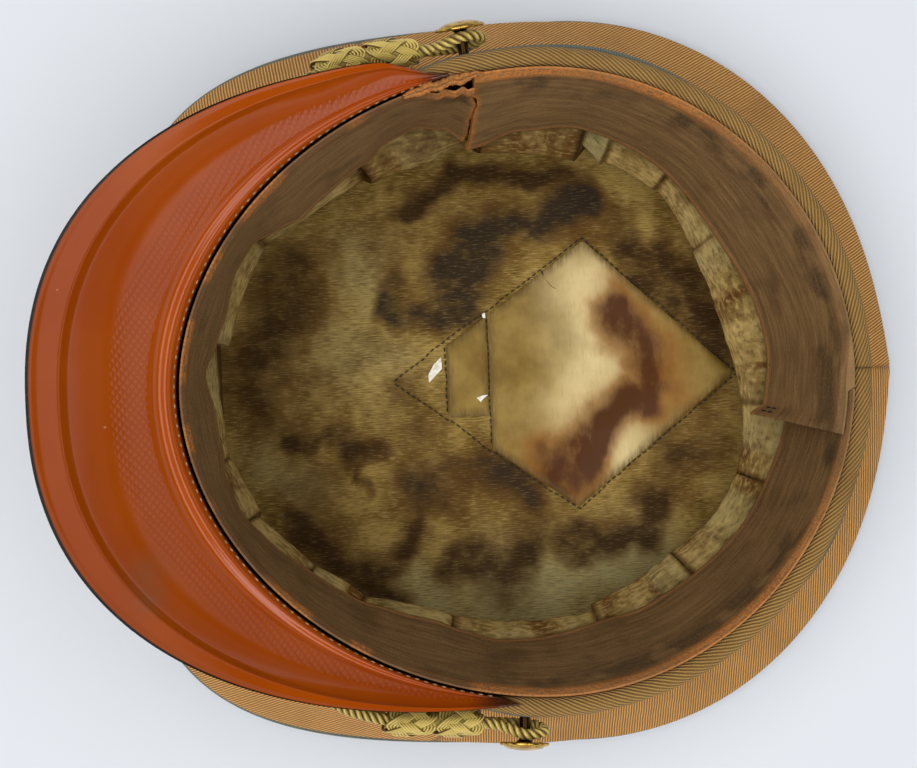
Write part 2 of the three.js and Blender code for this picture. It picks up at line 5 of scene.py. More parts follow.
import bpy
import numpy as np
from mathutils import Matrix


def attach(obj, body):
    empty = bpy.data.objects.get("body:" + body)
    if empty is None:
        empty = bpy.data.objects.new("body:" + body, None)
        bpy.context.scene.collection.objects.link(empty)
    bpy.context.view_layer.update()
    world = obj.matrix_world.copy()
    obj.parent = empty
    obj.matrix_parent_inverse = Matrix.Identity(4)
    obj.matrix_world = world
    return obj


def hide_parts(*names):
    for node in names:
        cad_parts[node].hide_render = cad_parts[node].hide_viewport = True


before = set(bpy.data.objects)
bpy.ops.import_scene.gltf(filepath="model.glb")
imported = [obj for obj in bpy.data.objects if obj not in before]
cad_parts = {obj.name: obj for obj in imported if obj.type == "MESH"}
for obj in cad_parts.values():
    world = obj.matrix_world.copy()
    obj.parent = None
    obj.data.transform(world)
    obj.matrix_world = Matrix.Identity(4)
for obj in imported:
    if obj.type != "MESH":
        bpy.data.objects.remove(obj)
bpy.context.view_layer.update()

# A visor cap lying upside down on its crown. Shapes are worked out in millimetres and degrees and
# turned into metres when a mesh is made. +Z is up, the visor points to -X, the wearer's left is +Y.
# Angles run round the head opening: 0 at the back, 90 at the wearer's left, 180 in front.
MM = 0.001
TAU = 2 * math.pi
UP = np.array([0.0, 0.0, 1.0])
LEVEL = np.array([1, 1, 0])  # times a way, what is level of it

# Outlines: eggs of two half superellipses that meet at "widest"
RIM = Sizes(widest=8, half=87.2, back=87.5, front=103, square_back=1.97, square_front=1.92)
CROWN = Sizes(widest=25.8, half=112.2, back=98.5, front=138, square_back=2.06, square_front=3.8)
CROWN_WARP = Sizes(taper=0.03, skew=0.01)
RIM_CENTRE = (10.7, 0, 78)
RIM_TILT = 10
GAP = 0.4  # between neighbouring pieces

# Band and its rolled rim, finer under the visor
BAND = Sizes(height=42, outside=3.9, wall=2.4, neck=-6.2, roll=2.75, roll_centre=2.55)
BAND_GRID = Sizes(stations=720, wall=14, roll=32, roll_start=-35, roll_end=225)
BAND_SEAM = Sizes(depth=0.3, spread=0.4, gap=0.12)
BAND_LUMP_RADIUS = 95
BAND_SOIL = Sizes(patch=0.55, low=0.05, high=0.7, at=12, spread=38, back=0.3, back_spread=45, seam=0.7)
BAND_RIBS = dict(lean=-63, spacing=0.9, crest=(184, 143, 80), groove=(112, 83, 40), soil=(104, 76, 36))
VISOR_ROLL = Sizes(radius=1.85, drop=1.8)

# Pipings
BAND_PIPING = Sizes(radius=0.85, height=-5.8)
CROWN_PIPING = Sizes(radius=1.25, z=8.1)
PIPING_PEEKS = ((76, 14, 1.2), (-33, 10, 1.2))  # at, spread, out
PIPING_HIDDEN = Sizes(size=0.6, gap=0.05)  # finer and closer where the visor covers it
PIPING_GRID = Sizes(stations=420, sides=10)

# Crown
CLOTH = 2
CROWN_SEAM = 3
CROWN_SHOULDER = ((0, 0), (0.45, 0), (0.8, 0), (0.9, 1.6), (0.955, 4))  # scale, rise
CROWN_EDGE = (6, 7.8)  # heights of the cloth's two faces
CROWN_WRINKLED = (0.75, 0.9)
CROWN_TOP_GRID = Sizes(stations=220, rings=44)
CROWN_TOP_SOIL = Sizes(share=0.6, start=0.85)
CROWN_TOP_RIBS = dict(lean=45, spacing=1.0, crest=(196, 144, 84), groove=(116, 78, 38), soil=(120, 84, 46))
FIRST_RING = 0.01
QUARTER_EDGE = Sizes(z=8.6, grow=-3)
QUARTER_ROLL = Sizes(out=3.2, start=0.7, full=0.95, end=0.75)
QUARTER_GRID = Sizes(stations=150, columns=60)
QUARTER_SEAM = Sizes(gap=0.02, depth=0.4, reach=0.8)
QUARTER_PUCKER = Sizes(depth=0.35, pitch=5.5, at=3, spread=3.5)
QUARTER_SOIL = Sizes(seam=0.8, edge=0.5, start=0.94)
QUARTER_COLOURS = dict(crest=(236, 174, 98), groove=(130, 88, 40), soil=(134, 92, 46))
BACK_SEAM = Sizes(out=2, reach=16)
QUARTERS = (  # name, from, to, puff, lean and spacing of its ribs seen from above
    ("crown_quarter_back_left", 0, 102, 4.5, 59, 0.82),
    ("crown_quarter_front_left", 102, 180, 5, -14, 0.95),
    ("crown_quarter_front_right", 180, 263, 5, 68, 0.78),
    ("crown_quarter_back_right", 263, 360, 4.5, 1, 0.79),
)

# Visor
VISOR = Sizes(tip=-6, half=87.8, depth=130, slope=13.2, square=2.33, thick=2, tip_lift=0.5, dish=3, root=0.2)
VISOR_ARMS = dict(  # its end, how much shorter it is, where the rim's roll sinks under it, its end's width
    left=dict(angle=106, short=11, start=103, end=112, width=0.3),
    right=dict(angle=101, short=0, start=96, end=104, width=1),
)
# Painted shade: from dark on, the arms' ends are painted black, up to shade, where they go under the rim's
# roll
VISOR_ARM = Sizes(start=0.75, taper=0.9, dark=(0.93, 0.99), shade=0.85)
VISOR_GRID = Sizes(stations=250, columns=120)
VISOR_LIFT = (  # across, lift
    (0, -1.2), (0.015, -0.2), (0.045, 0.9), (0.075, 0.95), (0.13, -0.4), (0.155, -0.45), (0.215, 0),
    (0.5, 0), (0.75, 0), (0.785, 1.1), (0.93, -0.75), (0.965, -1), (1, -1.5),
)
VISOR_RELIEF = Sizes(soft=4, least=0.35, full=3, crease=60)
VISOR_EDGE_BLACK = (0.972, 0.984)
# Painted shade: the visor's root is painted black, in the gap by the sweatband
VISOR_ROOT_SHADE = (0.004, 0.014)
VISOR_HATCH = (0.19, 0.23, 0.4, 0.5)
VISOR_SCUFFS = ((-90, -44, 4), (-89, -51, 3.4))  # x, y, size
ROOT_STITCH = Sizes(pitch=2.6, length=1.3, radius=0.3, across=0.02, sunk=0.35, end=0.985, points=400)
STITCH = Sizes(swell=(0.45, 0.9, 1, 0.9, 0.45), lift=0.5, sides=7)

# Sweatband; lean is how far its free edge has come in from the rim
LEATHER = Sizes(thick=1.6, top=-0.6, height=43, seat=0.5, bow=1.15, measured=-5, free=0.8)
SWEATBAND_MAIN = (  # at, lean
    (-259.6, 12.5), (-256, 7.8), (-251, 5.4), (-246, 6.3), (-239.5, 9.4), (-231, 11), (-223.5, 11.8),
    (-219.5, 9.6), (-214, 6.2), (-208, 6.6), (-198, 9.7), (-191.5, 9.3), (-185.5, 7.6), (-176, 10.1),
    (-168, 9.9), (-161, 7.4), (-153, 6.3), (-147, 7.4), (-136, 9.3), (-126, 9.8), (-119, 11.3),
    (-110, 12.2), (-105, 11.2), (-98, 9.5), (-90, 9.8), (-76, 10.8), (-62, 8.8), (-29, 5.2), (-4, 3.2),
)
SWEATBAND_REAR = (
    (-13, 15.5), (-9.5, 11.6), (5, 10), (31, 11.8), (60, 8.2), (74, 8), (88, 11.2), (99.9, 15.5),
)
LAP = Sizes(stand=2.1, start=-3, end=8, slant=2.5, fade=4, fill=(-4.4, -3.8), fill_reach=0.12)
LEATHER_GRID = Sizes(main=520, rear=230, columns=48)
LEATHER_CREASE = Sizes(at=0.925, width=0.016, depth=0.3)
LEATHER_WRINKLE = Sizes(depth=0.16, stretch=0.15, start=0.02, full=0.12)
LEATHER_BEVEL = Sizes(sewn=0.35, sewn_reach=0.05, free=0.6, free_start=0.985)
LEATHER_WORN_ROUND = (  # at, how far the rim has worn the leather orange
    (-110, 0.5), (-85, 0.8), (-50, 0.7), (-22, 0.35), (0, 0.1), (32, 0.12), (52, 0.55), (72, 0.9), (100, 1),
)
LEATHER_WORN = Sizes(start=2.2, end=4.4, spread=1.2, least=0.3, ridge=0.955, ridge_share=0.4, lip=(0.6, 1.6))
VISOR_WORN = Sizes(least=0.2, more=0.6, full=0.5)
TEAR_WORN = (0.4, 1.2)
LEATHER_GRIME = Sizes(share=0.75, at=8, spread=7, low=-0.3, high=0.5, visor=0.8, crease=0.6, crease_width=0.7)
TEAR = Sizes(reach=6, slant=1.6, straight=0.45, drop=2.4, slip=22, open=2.9, close=0.17)
LAP_STITCH = Sizes(rows=(1.6, 3.2), pitch=3, length=2.2, radius=0.28, start=0.74, end=0.95)
TORN_STRIP = Sizes(start=100.2, end=113.5, radius=1.45, grow=-1.15, height=0.1, tip=0.05, crease=80)
TORN_GRID = Sizes(stations=150, sides=16, round=2.5, cloth=3)
TORN_LUMPS = (("strip_lump", 2, 1), ("strip_nick", 8, 3))  # kind, how often along and round the strip

# Side lining; reach is how far a pleat's lip comes in from the rim, lift raises its far end
PLEATS = (  # from, to, start, end, bow, lift
    (-165, -151.5, 13, 13, 0.6, 1),
    (-151.5, -136, 11.4, 13.2, 1.2, 1),
    (-136, -124.5, 13.2, 13.4, 1, 1),
    (-124.5, -106.5, 13, 16.4, 1.6, 1.2),
    (-106.5, -74.5, 16, 15.3, 0.6, 1.4),
    (-74.5, -50.5, 17, 18, 0.4, 1.4),
    (-50.5, -25, 17.5, 14.8, -0.6, 1.4),
    (-25, -8, 14.2, 18, 0, 0.4),
    (-8, 34.5, 18.2, 20.8, 3, 0.4),
    (34.5, 52, 20, 15.2, 0.5, 1.6),
    (52, 66.5, 15.2, 15.8, 0.4, 1.4),
    (66.5, 73, 16.8, 13, 0, 1.6),
    (73, 97, 18.5, 18, 0.6, 0.8),
    (97, 120.5, 15, 17, 1.4, 1.4),
    (120.5, 144, 14.8, 11.6, 1.6, 1),
    (144, 168, 11.2, 15, 1, 0.8),
    (168, 195, 10.8, 12.6, 2, 0.8),
)
PLEAT_NODES = [f"lining_pleat_{k + 1:02d}" for k in range(len(PLEATS))]
PLEAT = Sizes(gap=0.5, step=0.8, least=6, rise=0.7, soft=3, columns=(4, 7, 9, 14, 9))
PLEAT_FOLD = Sizes(first=0.04, last=0.03, last_share=0.6)
# Painted shade on the side lining: at the pleats' folded ends, deeper down under the lip, and round the left
# side
PLEAT_SHADE = Sizes(fold=0.55, deep=0.5, deep_start=2, deep_end=12, side=0.22, side_at=105, side_spread=45)
# Painted sheen on one narrow pleat; pale patches at random on the others
PLEAT_PALE = Sizes(row=11, share=0.9, patch=0.35, full=0.6)
LINING = Sizes(thick=1.2, top=-36, under=-45.2, shelf=-46, lip=-48.6, lip_roll=3.5, radius=80, clear=1)
LINING_BELLY = Sizes(at=0.5, out=2.5)
SIDE_FOOT_SCALE = 0.735

# Top lining, and its stains, painted shade and painted sheen: kind, width, strength and the way each one runs
TOP_LINING = Sizes(z=2.5, thick=1.2, scale=0.76, stations=280, rings=110, flat=(0.66, 0.72))
LINING_LEVEL = TOP_LINING.z + TOP_LINING.thick + GAP
STAINS_SHADE_AND_SHEEN = (
    ("dark", 6, 0.9, ((-24, 54), (-19.5, 58), (-11, 60.5), (-6, 61), (-2.5, 64.5), (10, 63.5), (19, 62.5))),
    ("dark", 8, 0.8, ((19, 62.5), (27, 58.5), (33, 57))),
    ("blue", 9, 0.95, ((30, 57), (20.5, 50), (12.5, 46), (6, 43), (1.5, 38.5), (-4, 33.5), (-8, 30))),
    ("blue", 7, 0.9, ((-8, 24), (-13, 22.5), (-21.5, 24), (-28, 27))),
    ("dark", 10, 0.4, ((-10, 40), (-3, 45))),
    ("dark", 8, 0.9, ((42.5, 50), (46.5, 43.5), (50.5, 37.5), (53.5, 31.5), (60, 22.5))),
    ("dark", 5, 0.9, ((-63, -10), (-57.5, -13.5))),
    ("dark", 4.5, 0.8, ((-53.5, -12), (-47.5, -15), (-39.5, -17), (-32.5, -18))),
    ("dark", 2.5, 0.6, ((-32.5, -18.5), (-43.5, -20), (-44.5, -23), (-40, -27), (-37.5, -33))),
    ("blue", 9, 0.4, ((-28, -6.5), (-17.5, -16))),
    ("blue", 10, 0.55, ((-21, -31.5), (-2.5, -25.5), (4, -29.5), (13.5, -37))),
    ("dark", 4.5, 0.7, ((-18, -36), (-27, -43.5), (-31, -51), (-37, -56))),
    ("dark", 8, 0.75, ((-15.5, -36), (-2, -28.5), (15, -35.5), (18, -43.5), (5, -62), (-1, -60), (-12, -55))),
    ("dark", 9, 0.6, ((70, -15.5), (60.5, -23.5))),
    ("dark", 8, 0.95, ((28, -49), (40, -49.5), (46.5, -48), (50, -40))),
    # painted shade: dark strokes along the left, right and lower left edge, where the pleats overhang
    ("dark", 14, 0.62, ((-58, 40), (-66, 20), (-72, 0))),
    ("dark", 11, 0.75, ((56, 42), (67, 30), (72, 18), (77, 6))),
    ("dark", 10, 0.75, ((-62, -42), (-48, -54), (-36, -62))),
    ("dark", 20, 0.26, ((-24, 46), (4, 52), (36, 44))),
    ("dark", 22, 0.2, ((-30, -34), (-4, -44), (22, -40))),
    # painted shade: broad dark washes along the left and right edge, under the pleats
    ("dark", 20, 0.3, ((-62, 30), (-66, -6), (-52, -40))),
    ("dark", 13, 0.4, ((60, 34), (72, 12), (68, -22), (52, -40))),
    # painted sheen: pale greenish-grey patches where the satin shines
    ("pale", 11, 0.8, ((-26, -59), (-17, -64))),
    ("pale", 15, 1, ((2, -65), (34, -60), (46, -56))),
    ("pale", 15, 0.4, ((-48, 14), (-32, 6))),
    ("pale", 9, 0.5, ((-39, 42), (-35, 28))),
    ("pale", 8, 0.5, ((-72, -18), (-58, -28))),
)
STROKE_SHARE = 0.85
STAIN_WANDER = ((24, 5), (9, 3), (4, 1.2))  # size of the wander, how far
WANDER_SEEDS = (111, 84)  # along X, along Y

# What is left of the sweat shield, and the stain on it
SHIELD_THICK = 0.8
SHIELD_MAIN = Sizes(
    left=1.6, left_top=21.6, left_foot=-20.6,
    top=(32.6, 43.7), right=(78.3, 0.4), foot=(28, -39.7), blunt=0.4,
)
SHIELD_STRIP = Sizes(left=-11.8, right=1.2, left_top=12.4, right_top=21.2, foot=-10)
SHIELD_GRID = Sizes(main=110, strip=34, columns=90)
SHIELD_BULGE = Sizes(height=1.3, start=-2, reach=16, across=0.75, rippled=5)
SHIELD_EDGE = (-1.5, 1.2)
SHIELD_SUNK = Sizes(over=0.25, under=0.2)
SHIELD_GRIME = 3
SHIELD_COVER = Sizes(way=((-20, 0), (70, 0)), width=60, fade=(0.02, 0.3))  # where the lining lies flat
SHIELD_STAIN = (  # x, y
    (42.5, 23.5), (48, 13.5), (53.5, 4.5), (57, -1), (53, -6),
    (43.5, -8), (37, -13), (31, -22), (25, -27.5), (19, -27),
)
SHIELD_STAIN_FADES = ((7.5, 0.66), (15, 0.34))  # width, share
# Painted highlight: a pale glow along this way, standing for the shine of the celluloid
SHIELD_PAINTED_GLOW = ((32, 27), (37, 12), (36, -2), (29, -12), (42, -20))
SHIELD_PAINTED_GLOW_WIDTH = 14
SHIELD_SEAM = (  # the sewn lines round it, as the corners of each
    (
        (-29, 1.6), (-11.8, 14.2), (1.4, 22.8), (32.6, 44.6), (79.2, 0.4),
        (28, -40.6), (1.4, -21.4), (-12.3, -10.4), (-29, 1.6),
    ),
    ((-12.1, 13.4), (-12.2, -10)),
    ((1.4, 21.8), (1.4, -20.6)),
)
SHIELD_STITCH = Sizes(pitch=2.1, length=1.5, radius=0.2, level=0.15, step=0.5)
SHIELD_CHIPS = (  # rise over the lining, corners of each chip of celluloid left at the torn edge, painted nearly white as glints
    (-0.2, ((-13.4, 9.1), (-13.2, 5.4), (-17.5, 1.1), (-17.6, 3.7), (-15.8, 6.8))),
    (0.5, ((0, 22), (1, 22.4), (1.1, 20.6), (0.2, 20.8))),
    (0.65, ((-2.8, -4.2), (-1.6, -5.6), (-0.7, -4.6), (0.9, -3.4), (-1.2, -3.6))),
)
CHIP = Sizes(thick=0.35, first=0.2, rings=6)
SHIELD_CRACK = ((19.2, 34.7), (20.3, 32), (21.6, 30.3), (23.6, 28.8))
CRACK = Sizes(radius=0.2, tip=0.05, points=40, sides=8, first=0.3, last=1.14)

# Chin cord: one loop round both buttons, through a woven slide on each side
CORD = Sizes(height=-12, spacing=4, turn=3.5, loop=5.6, splay=1.9)
CORD_STAND = ((20, 5.8), (58, 16.2), (79, 9.3))  # degrees from the front, how far outside the rim's edge
CORD_RUN = Sizes(lead=4.5, points=22, steps=24, turn=(90, 45, 0, -45, -90))
CORD_STRAND = Sizes(count=3, radius=0.82, offset=0.8, pitch=6.2, steps=10, sides=7)
# Painted shade round each strand's sides: where it starts and where it is full, in 1 - cos of the turn round
# it
STRAND_SHADE = (0.1, 0.62)
SLIDES = (("cord_slide_left", 107.5, 122), ("cord_slide_right", 257.5, 244))
SLIDE = Sizes(bore_out=2.5, bore_up=4.5, out_out=4.4, out_up=6.4, lobes=(0.25, 0.75))
SLIDE_WEAVE = Sizes(
    leads=4, bights=5, strands=5, gauge=0.4, spread=0.92, wave=0.5, pinch=0.9, core=4, steps=320, sides=8,
)
SLIDE_SLEEVE = Sizes(start=0.02, end=0.98, stations=24, sides=40, sunk=1, wave=0.5, cloth=5, shade=0.5)
BUTTONS = (("button_left", 101), ("button_right", 264))
BUTTON = Sizes(radius=7, shank=1.5, shank_length=9.2, rim=1, dome=1.6, lean=10, clear=0.8, sides=72)
BUTTON_FORM = Sizes(
    neck=0.9, flare=1.6, back=0.6, bead=(-90, 75, 12), dome=22, inset=1.1, sunk=0.25, dark=4, crease=35,
)

# Unevenness of the surfaces: how much, size of its patches, seed
UNEVEN = dict(
    crown_wrinkle=(0.25, 14, 3),
    quarter_sag=(0.45, 22, 11),
    rim_lump=(0.12, 7, 21),
    rim_soil=(1, 16, 5),
    leather_edge=(0.5, 14, 31),
    leather_nick=(0.2, 3, 32),
    leather_wrinkle=(0.5, 9, 41),
    leather_crease=(0.7, 2.6, 42),
    tear_wave=(0.4, 3.5, 8),
    tear_rag=(0.14, 1.2, 9),
    tear_hang=(0.25, 2.5, 55),
    worn_edge=(1, 9, 51),
    worn_speck=(0.5, 2, 54),
    worn_visor=(1, 9, 56),
    worn_head=(0.25, 22, 53),
    grime_patch=(1, 7, 52),
    grime_speck=(0.4, 2.5, 57),
    strip_wave=(0.5, 1.3, 121),
    strip_level=(0.4, 1.7, 122),
    strip_lump=(0.25, 1, 123),
    strip_nick=(0.12, 1, 124),
    pleat_reach=(0.35, 3, 61),
    pleat_rise=(0.25, 2.2, 62),
    pleat_pale=(1, 11, 71),
    lining_swell=(0.9, 26, 91),
    lining_ripple=(0.35, 9, 92),
    shield_ripple=(0.12, 7, 101),
    crack_wave=(0.2, 1.5, 131),
    seam_x=(0.3, 4, 111),
    seam_y=(0.3, 4, 112),
)
GRAIN_CELLS = 64

# Photograph's camera
CAMERA = Sizes(place=(-8.275, 0.353, 580), turn=-2.486, lens=71.91, sensor=36)

# Studio: a plain table in metres, painted dimmer far off as a painted falloff of light, under rings of soft
# light, a little stronger on one side
TABLE = Sizes(half=20, z=-0.0002, near=0.5, far=1.1)
LIGHT_STRENGTH = 3.2
LIGHT_LEAN = (-0.3, -0.5, 0)
LIGHT_RING = (  # height of the direction, share of the full light
    (0, 0.01), (0.05, 0.01), (0.08, 0.36), (0.3, 0.36), (0.38, 0.02),
    (0.76, 0.02), (0.84, 1.02), (0.955, 1.02), (0.975, 0.05), (1, 0.05),
)

Body = namedtuple("Body", "points quads triangles")
NO_TRIANGLES = np.zeros((0, 3), int)


# Numbers

def lerp(a, b, t):
    return a + (b - a) * t


def smooth(value, low, high):
    t = np.clip((np.asarray(value, float) - low) / (high - low), 0, 1)
    return t * t * (3 - 2 * t)


def bell(value, middle, spread):
    return np.exp(-(((value - middle) / spread) ** 2))


def wrapped(angle):
    return (np.asarray(angle, float) + 180) % 360 - 180


def reading(table, at):
    """A smooth reading between the rows of a table, each a place and its value."""
    places, values = np.array(table, float).T
    at = np.asarray(at, float)
    after = np.clip(np.searchsorted(places, at), 1, len(places) - 1)
    before = after - 1
    return lerp(values[before], values[after], smooth(at, places[before], places[after]))


def grain(x, y, size, seed):
    """Soft noise from -1 to 1 over a plane, in patches about size across."""
    lattice = np.random.default_rng(seed).uniform(-1, 1, (GRAIN_CELLS, GRAIN_CELLS))
    x, y = np.broadcast_arrays(np.asarray(x, float) / size, np.asarray(y, float) / size)
    i = np.floor(x).astype(int)
    j = np.floor(y).astype(int)
    a = smooth(x - i, 0, 1)
    b = smooth(y - j, 0, 1)

    def corner(di, dj):
        return lattice[(i + di) % GRAIN_CELLS, (j + dj) % GRAIN_CELLS]

    return lerp(lerp(corner(0, 0), corner(1, 0), a), lerp(corner(0, 1), corner(1, 1), a), b)


def uneven(kind, x, y=0, shift=0):
    """One kind of unevenness at places on a surface."""
    amount, size, seed = UNEVEN[kind]
    return amount * grain(x, y, size, seed + shift)


def unit(vectors):
    return vectors / np.linalg.norm(vectors, axis=-1, keepdims=True)


def point(x, y, z):
    return np.stack(np.broadcast_arrays(x, y, z), -1).astype(float)


def run_length(points):
    """How far along its first axis each point of a grid lies."""
    steps = np.linalg.norm(np.diff(points, axis=0), axis=-1)
    return np.concatenate([np.zeros((1,) + steps.shape[1:]), np.cumsum(steps, axis=0)])


def walk(path, at):
    """Points of a path at distances from its start."""
    far = run_length(path)
    return np.stack([np.interp(at, far, path[:, k]) for k in range(path.shape[1])], 1)


def grid_area(points):
    """The area of a grid of points."""
    down = np.diff(points, axis=0)[:, :-1]
    across = np.diff(points, axis=1)[:-1]
    return np.linalg.norm(np.cross(down, across), axis=-1).sum()


def softened(points, axis, passes):
    """Points with the corners between them rounded off, the ends kept."""
    points = np.moveaxis(points, axis, 0)
    for _ in range(passes):
        points = np.concatenate([points[:1], (points[:-2] + 2 * points[1:-1] + points[2:]) / 4, points[-1:]])
    return np.moveaxis(points, 0, axis)


# Places on the cap

def egg(shape, grow, angle):
    turn = np.radians(angle)
    c = np.cos(turn)
    s = np.sin(turn)
    power = 2 / np.where(c >= 0, shape.square_back, shape.square_front)
    reach = np.where(c >= 0, shape.back + grow, -shape.front - grow)
    across = (shape.half + grow) * np.sign(s) * np.abs(s) ** power
    return shape.widest + reach * np.abs(c) ** power, across


def to_cap(points):
    """From the tipped frame of the rim to the cap's own."""
    turn = math.radians(RIM_TILT)
    u, v, w = points[..., 0], points[..., 1], points[..., 2]
    x = RIM_CENTRE[0] + u * math.cos(turn) + w * math.sin(turn)
    z = RIM_CENTRE[2] - u * math.sin(turn) + w * math.cos(turn)
    return np.stack([x, v, z], -1)


def rim_point(angle, grow, height):
    """A point outside the rim's inner edge by "grow", at a height over its plane, in the rim's frame."""
    x, y = egg(RIM, grow, angle)
    return point(x, y, height)


def cap_point(angle, grow, height):
    return to_cap(rim_point(angle, grow, height))


def crown_point(angle, grow, z, scale=1):
    x, y = egg(CROWN, grow, angle)
    ahead = np.maximum(0, CROWN.widest - x)
    across = y * (1 - CROWN_WARP.taper * ahead / CROWN.front) - CROWN_WARP.skew * ahead
    return point(x * scale, across * scale, z)


def side_frame(angle):
    """The ways along the rim, outwards and up, in the rim's frame."""
    along = unit(rim_point(angle + 1, 0, 0) - rim_point(angle - 1, 0, 0))
    up = np.broadcast_to(UP, along.shape)
    return along, np.cross(along, up), up


def of_arm(left, value):
    """A value of the visor's left or right arm."""
    return np.where(left, VISOR_ARMS["left"][value], VISOR_ARMS["right"][value])


def under_visor(angle):
    here = wrapped(angle)
    return smooth(np.abs(here), of_arm(here > 0, "start"), of_arm(here > 0, "end"))


def roll_top(angle):
    return -VISOR_ROLL.drop * under_visor(angle)


# Bodies

def grid_quads(index):
    return np.stack([index[:-1, :-1], index[:-1, 1:], index[1:, 1:], index[1:, :-1]], -1).reshape(-1, 4)


def looped(index, axis=0):
    return np.concatenate([index, np.take(index, [0], axis)], axis)


def outward(points, quads, triangles=NO_TRIANGLES):
    """A closed body with its faces turned outwards."""
    corners = np.concatenate([quads[:, :3], quads[:, [0, 2, 3]], triangles])
    a, b, c = (points[corners[:, k]] for k in range(3))
    if np.einsum("ij,ij->i", a, np.cross(b, c)).sum() < 0:
        quads = quads[:, ::-1]
        triangles = triangles[:, ::-1]
    return Body(points, quads, triangles)


def shell(face, back, loop=False):
    """A closed sheet between two grids of points; loop joins its last row to its first."""
    rows, columns = face.shape[:2]
    front = np.arange(rows * columns).reshape(rows, columns)
    rear = front + rows * columns
    grids = [front, rear[:, ::-1]]
    grids += [np.stack([rear[:, 0], front[:, 0]], 1), np.stack([front[:, -1], rear[:, -1]], 1)]
    if loop:
        grids = [looped(index) for index in grids]
    else:
        grids += [np.stack([rear[0], front[0]]), np.stack([front[-1], rear[-1]])]
    points = np.concatenate([face.reshape(-1, 3), back.reshape(-1, 3)])
    return outward(points, np.concatenate([grid_quads(index) for index in grids]))


def disc(face, back):
    """A closed sheet round a middle: rows run round it and columns outwards from near its middle."""
    rows, columns = face.shape[:2]
    front = looped(np.arange(rows * columns).reshape(rows, columns))
    rear = front + rows * columns
    middle = np.full(rows, 2 * rows * columns)
    quads = [grid_quads(index) for index in (front, rear[:, ::-1], np.stack([front[:, -1], rear[:, -1]], 1))]
    triangles = np.concatenate([
        np.stack([front[:-1, 0], front[1:, 0], middle], 1),
        np.stack([middle + 1, rear[1:, 0], rear[:-1, 0]], 1),
    ])
    middles = np.stack([face[:, 0].mean(0), back[:, 0].mean(0)])
    points = np.concatenate([face.reshape(-1, 3), back.reshape(-1, 3), middles])
    return outward(points, np.concatenate(quads), triangles)


def torus(sections):
    """A closed ring from closed sections."""
    rows, columns = sections.shape[:2]
    index = looped(looped(np.arange(rows * columns).reshape(rows, columns)), 1)
    return outward(sections.reshape(-1, 3), grid_quads(index))


def capped(rings, poles):
    """A closed body from a row of rings, with a point at each end."""
    rows, sides = rings.shape[:2]
    index = looped(np.arange(rows * sides).reshape(rows, sides), 1)
    ends = []
    for ring, pole in ((index[0], rows * sides), (index[-1][::-1], rows * sides + 1)):
        ends.append(np.stack([np.full(sides, pole), ring[1:], ring[:-1]], 1))
    points = np.concatenate([rings.reshape(-1, 3), poles])
    return outward(points, grid_quads(index), np.concatenate(ends))


def ways_across(tangent, up):
    """Two ways across a path, the first as near to up as it can be."""
    side = unit(np.cross(tangent, up))
    return np.cross(side, tangent), side


def tube(path, tangent, up, radius, sides):
    """Round sections along a path, and the turn of each of their points."""
    normal, side = ways_across(tangent, up)
    turn = np.arange(sides) * TAU / sides
    spokes = np.cos(turn)[:, None] * normal[:, None] + np.sin(turn)[:, None] * side[:, None]
    return path[:, None] + radius * spokes, turn


def rod(path, radius, sides, up):
    """A round rod with pointed ends along an open path, its radius given at each point and turn of it."""
    rings, _ = tube(path, unit(np.gradient(path, axis=0)), up, radius[..., None], sides)
    return capped(rings, path[[0, -1]])


def join(bodies):
    points, quads, triangles = [], [], []
    count = 0
    for body in bodies:
        points.append(body.points)
        quads.append(body.quads + count)
        triangles.append(body.triangles + count)
        count += len(body.points)
    return Body(np.concatenate(points), np.concatenate(quads), np.concatenate(triangles))


def stitches(path, ups, sewing):
    """Short rounded stitches along a path, each lying on a surface whose way up is given."""
    share = np.linspace(0, 1, len(STITCH.swell))
    swell = sewing.radius * np.array(STITCH.swell)[:, None]
    rise = sewing.radius * STITCH.lift * np.sin(np.pi * share)[:, None]
    ups = np.broadcast_to(ups, path.shape)
    far = run_length(path)
    made = []
    for start in np.arange(sewing.pitch / 2, far[-1] - sewing.length, sewing.pitch):
        up = np.array([np.interp(start, far, ups[:, k]) for k in range(3)])
        line = walk(path, start + sewing.length * share) + up * rise
        made.append(rod(line, swell, STITCH.sides, up))
    return join(made)


def twice(values):
    """Values of a face, repeated for its back."""
    return np.concatenate([values.reshape(-1, *values.shape[2:])] * 2)


def middled(values):
    """Values of a disc's face, repeated for its back, with none at its two middles."""
    values = twice(values)
    return np.concatenate([values, np.zeros((2,) + values.shape[1:])])


def cloth_places(u, v):
    """Cloth coordinates of a grid of points, along it and across it."""
    return np.stack(np.broadcast_arrays(u, v), -1)


def add_object(name, data):
    made = bpy.data.objects.new(name, data)
    bpy.context.scene.collection.objects.link(made)
    return made


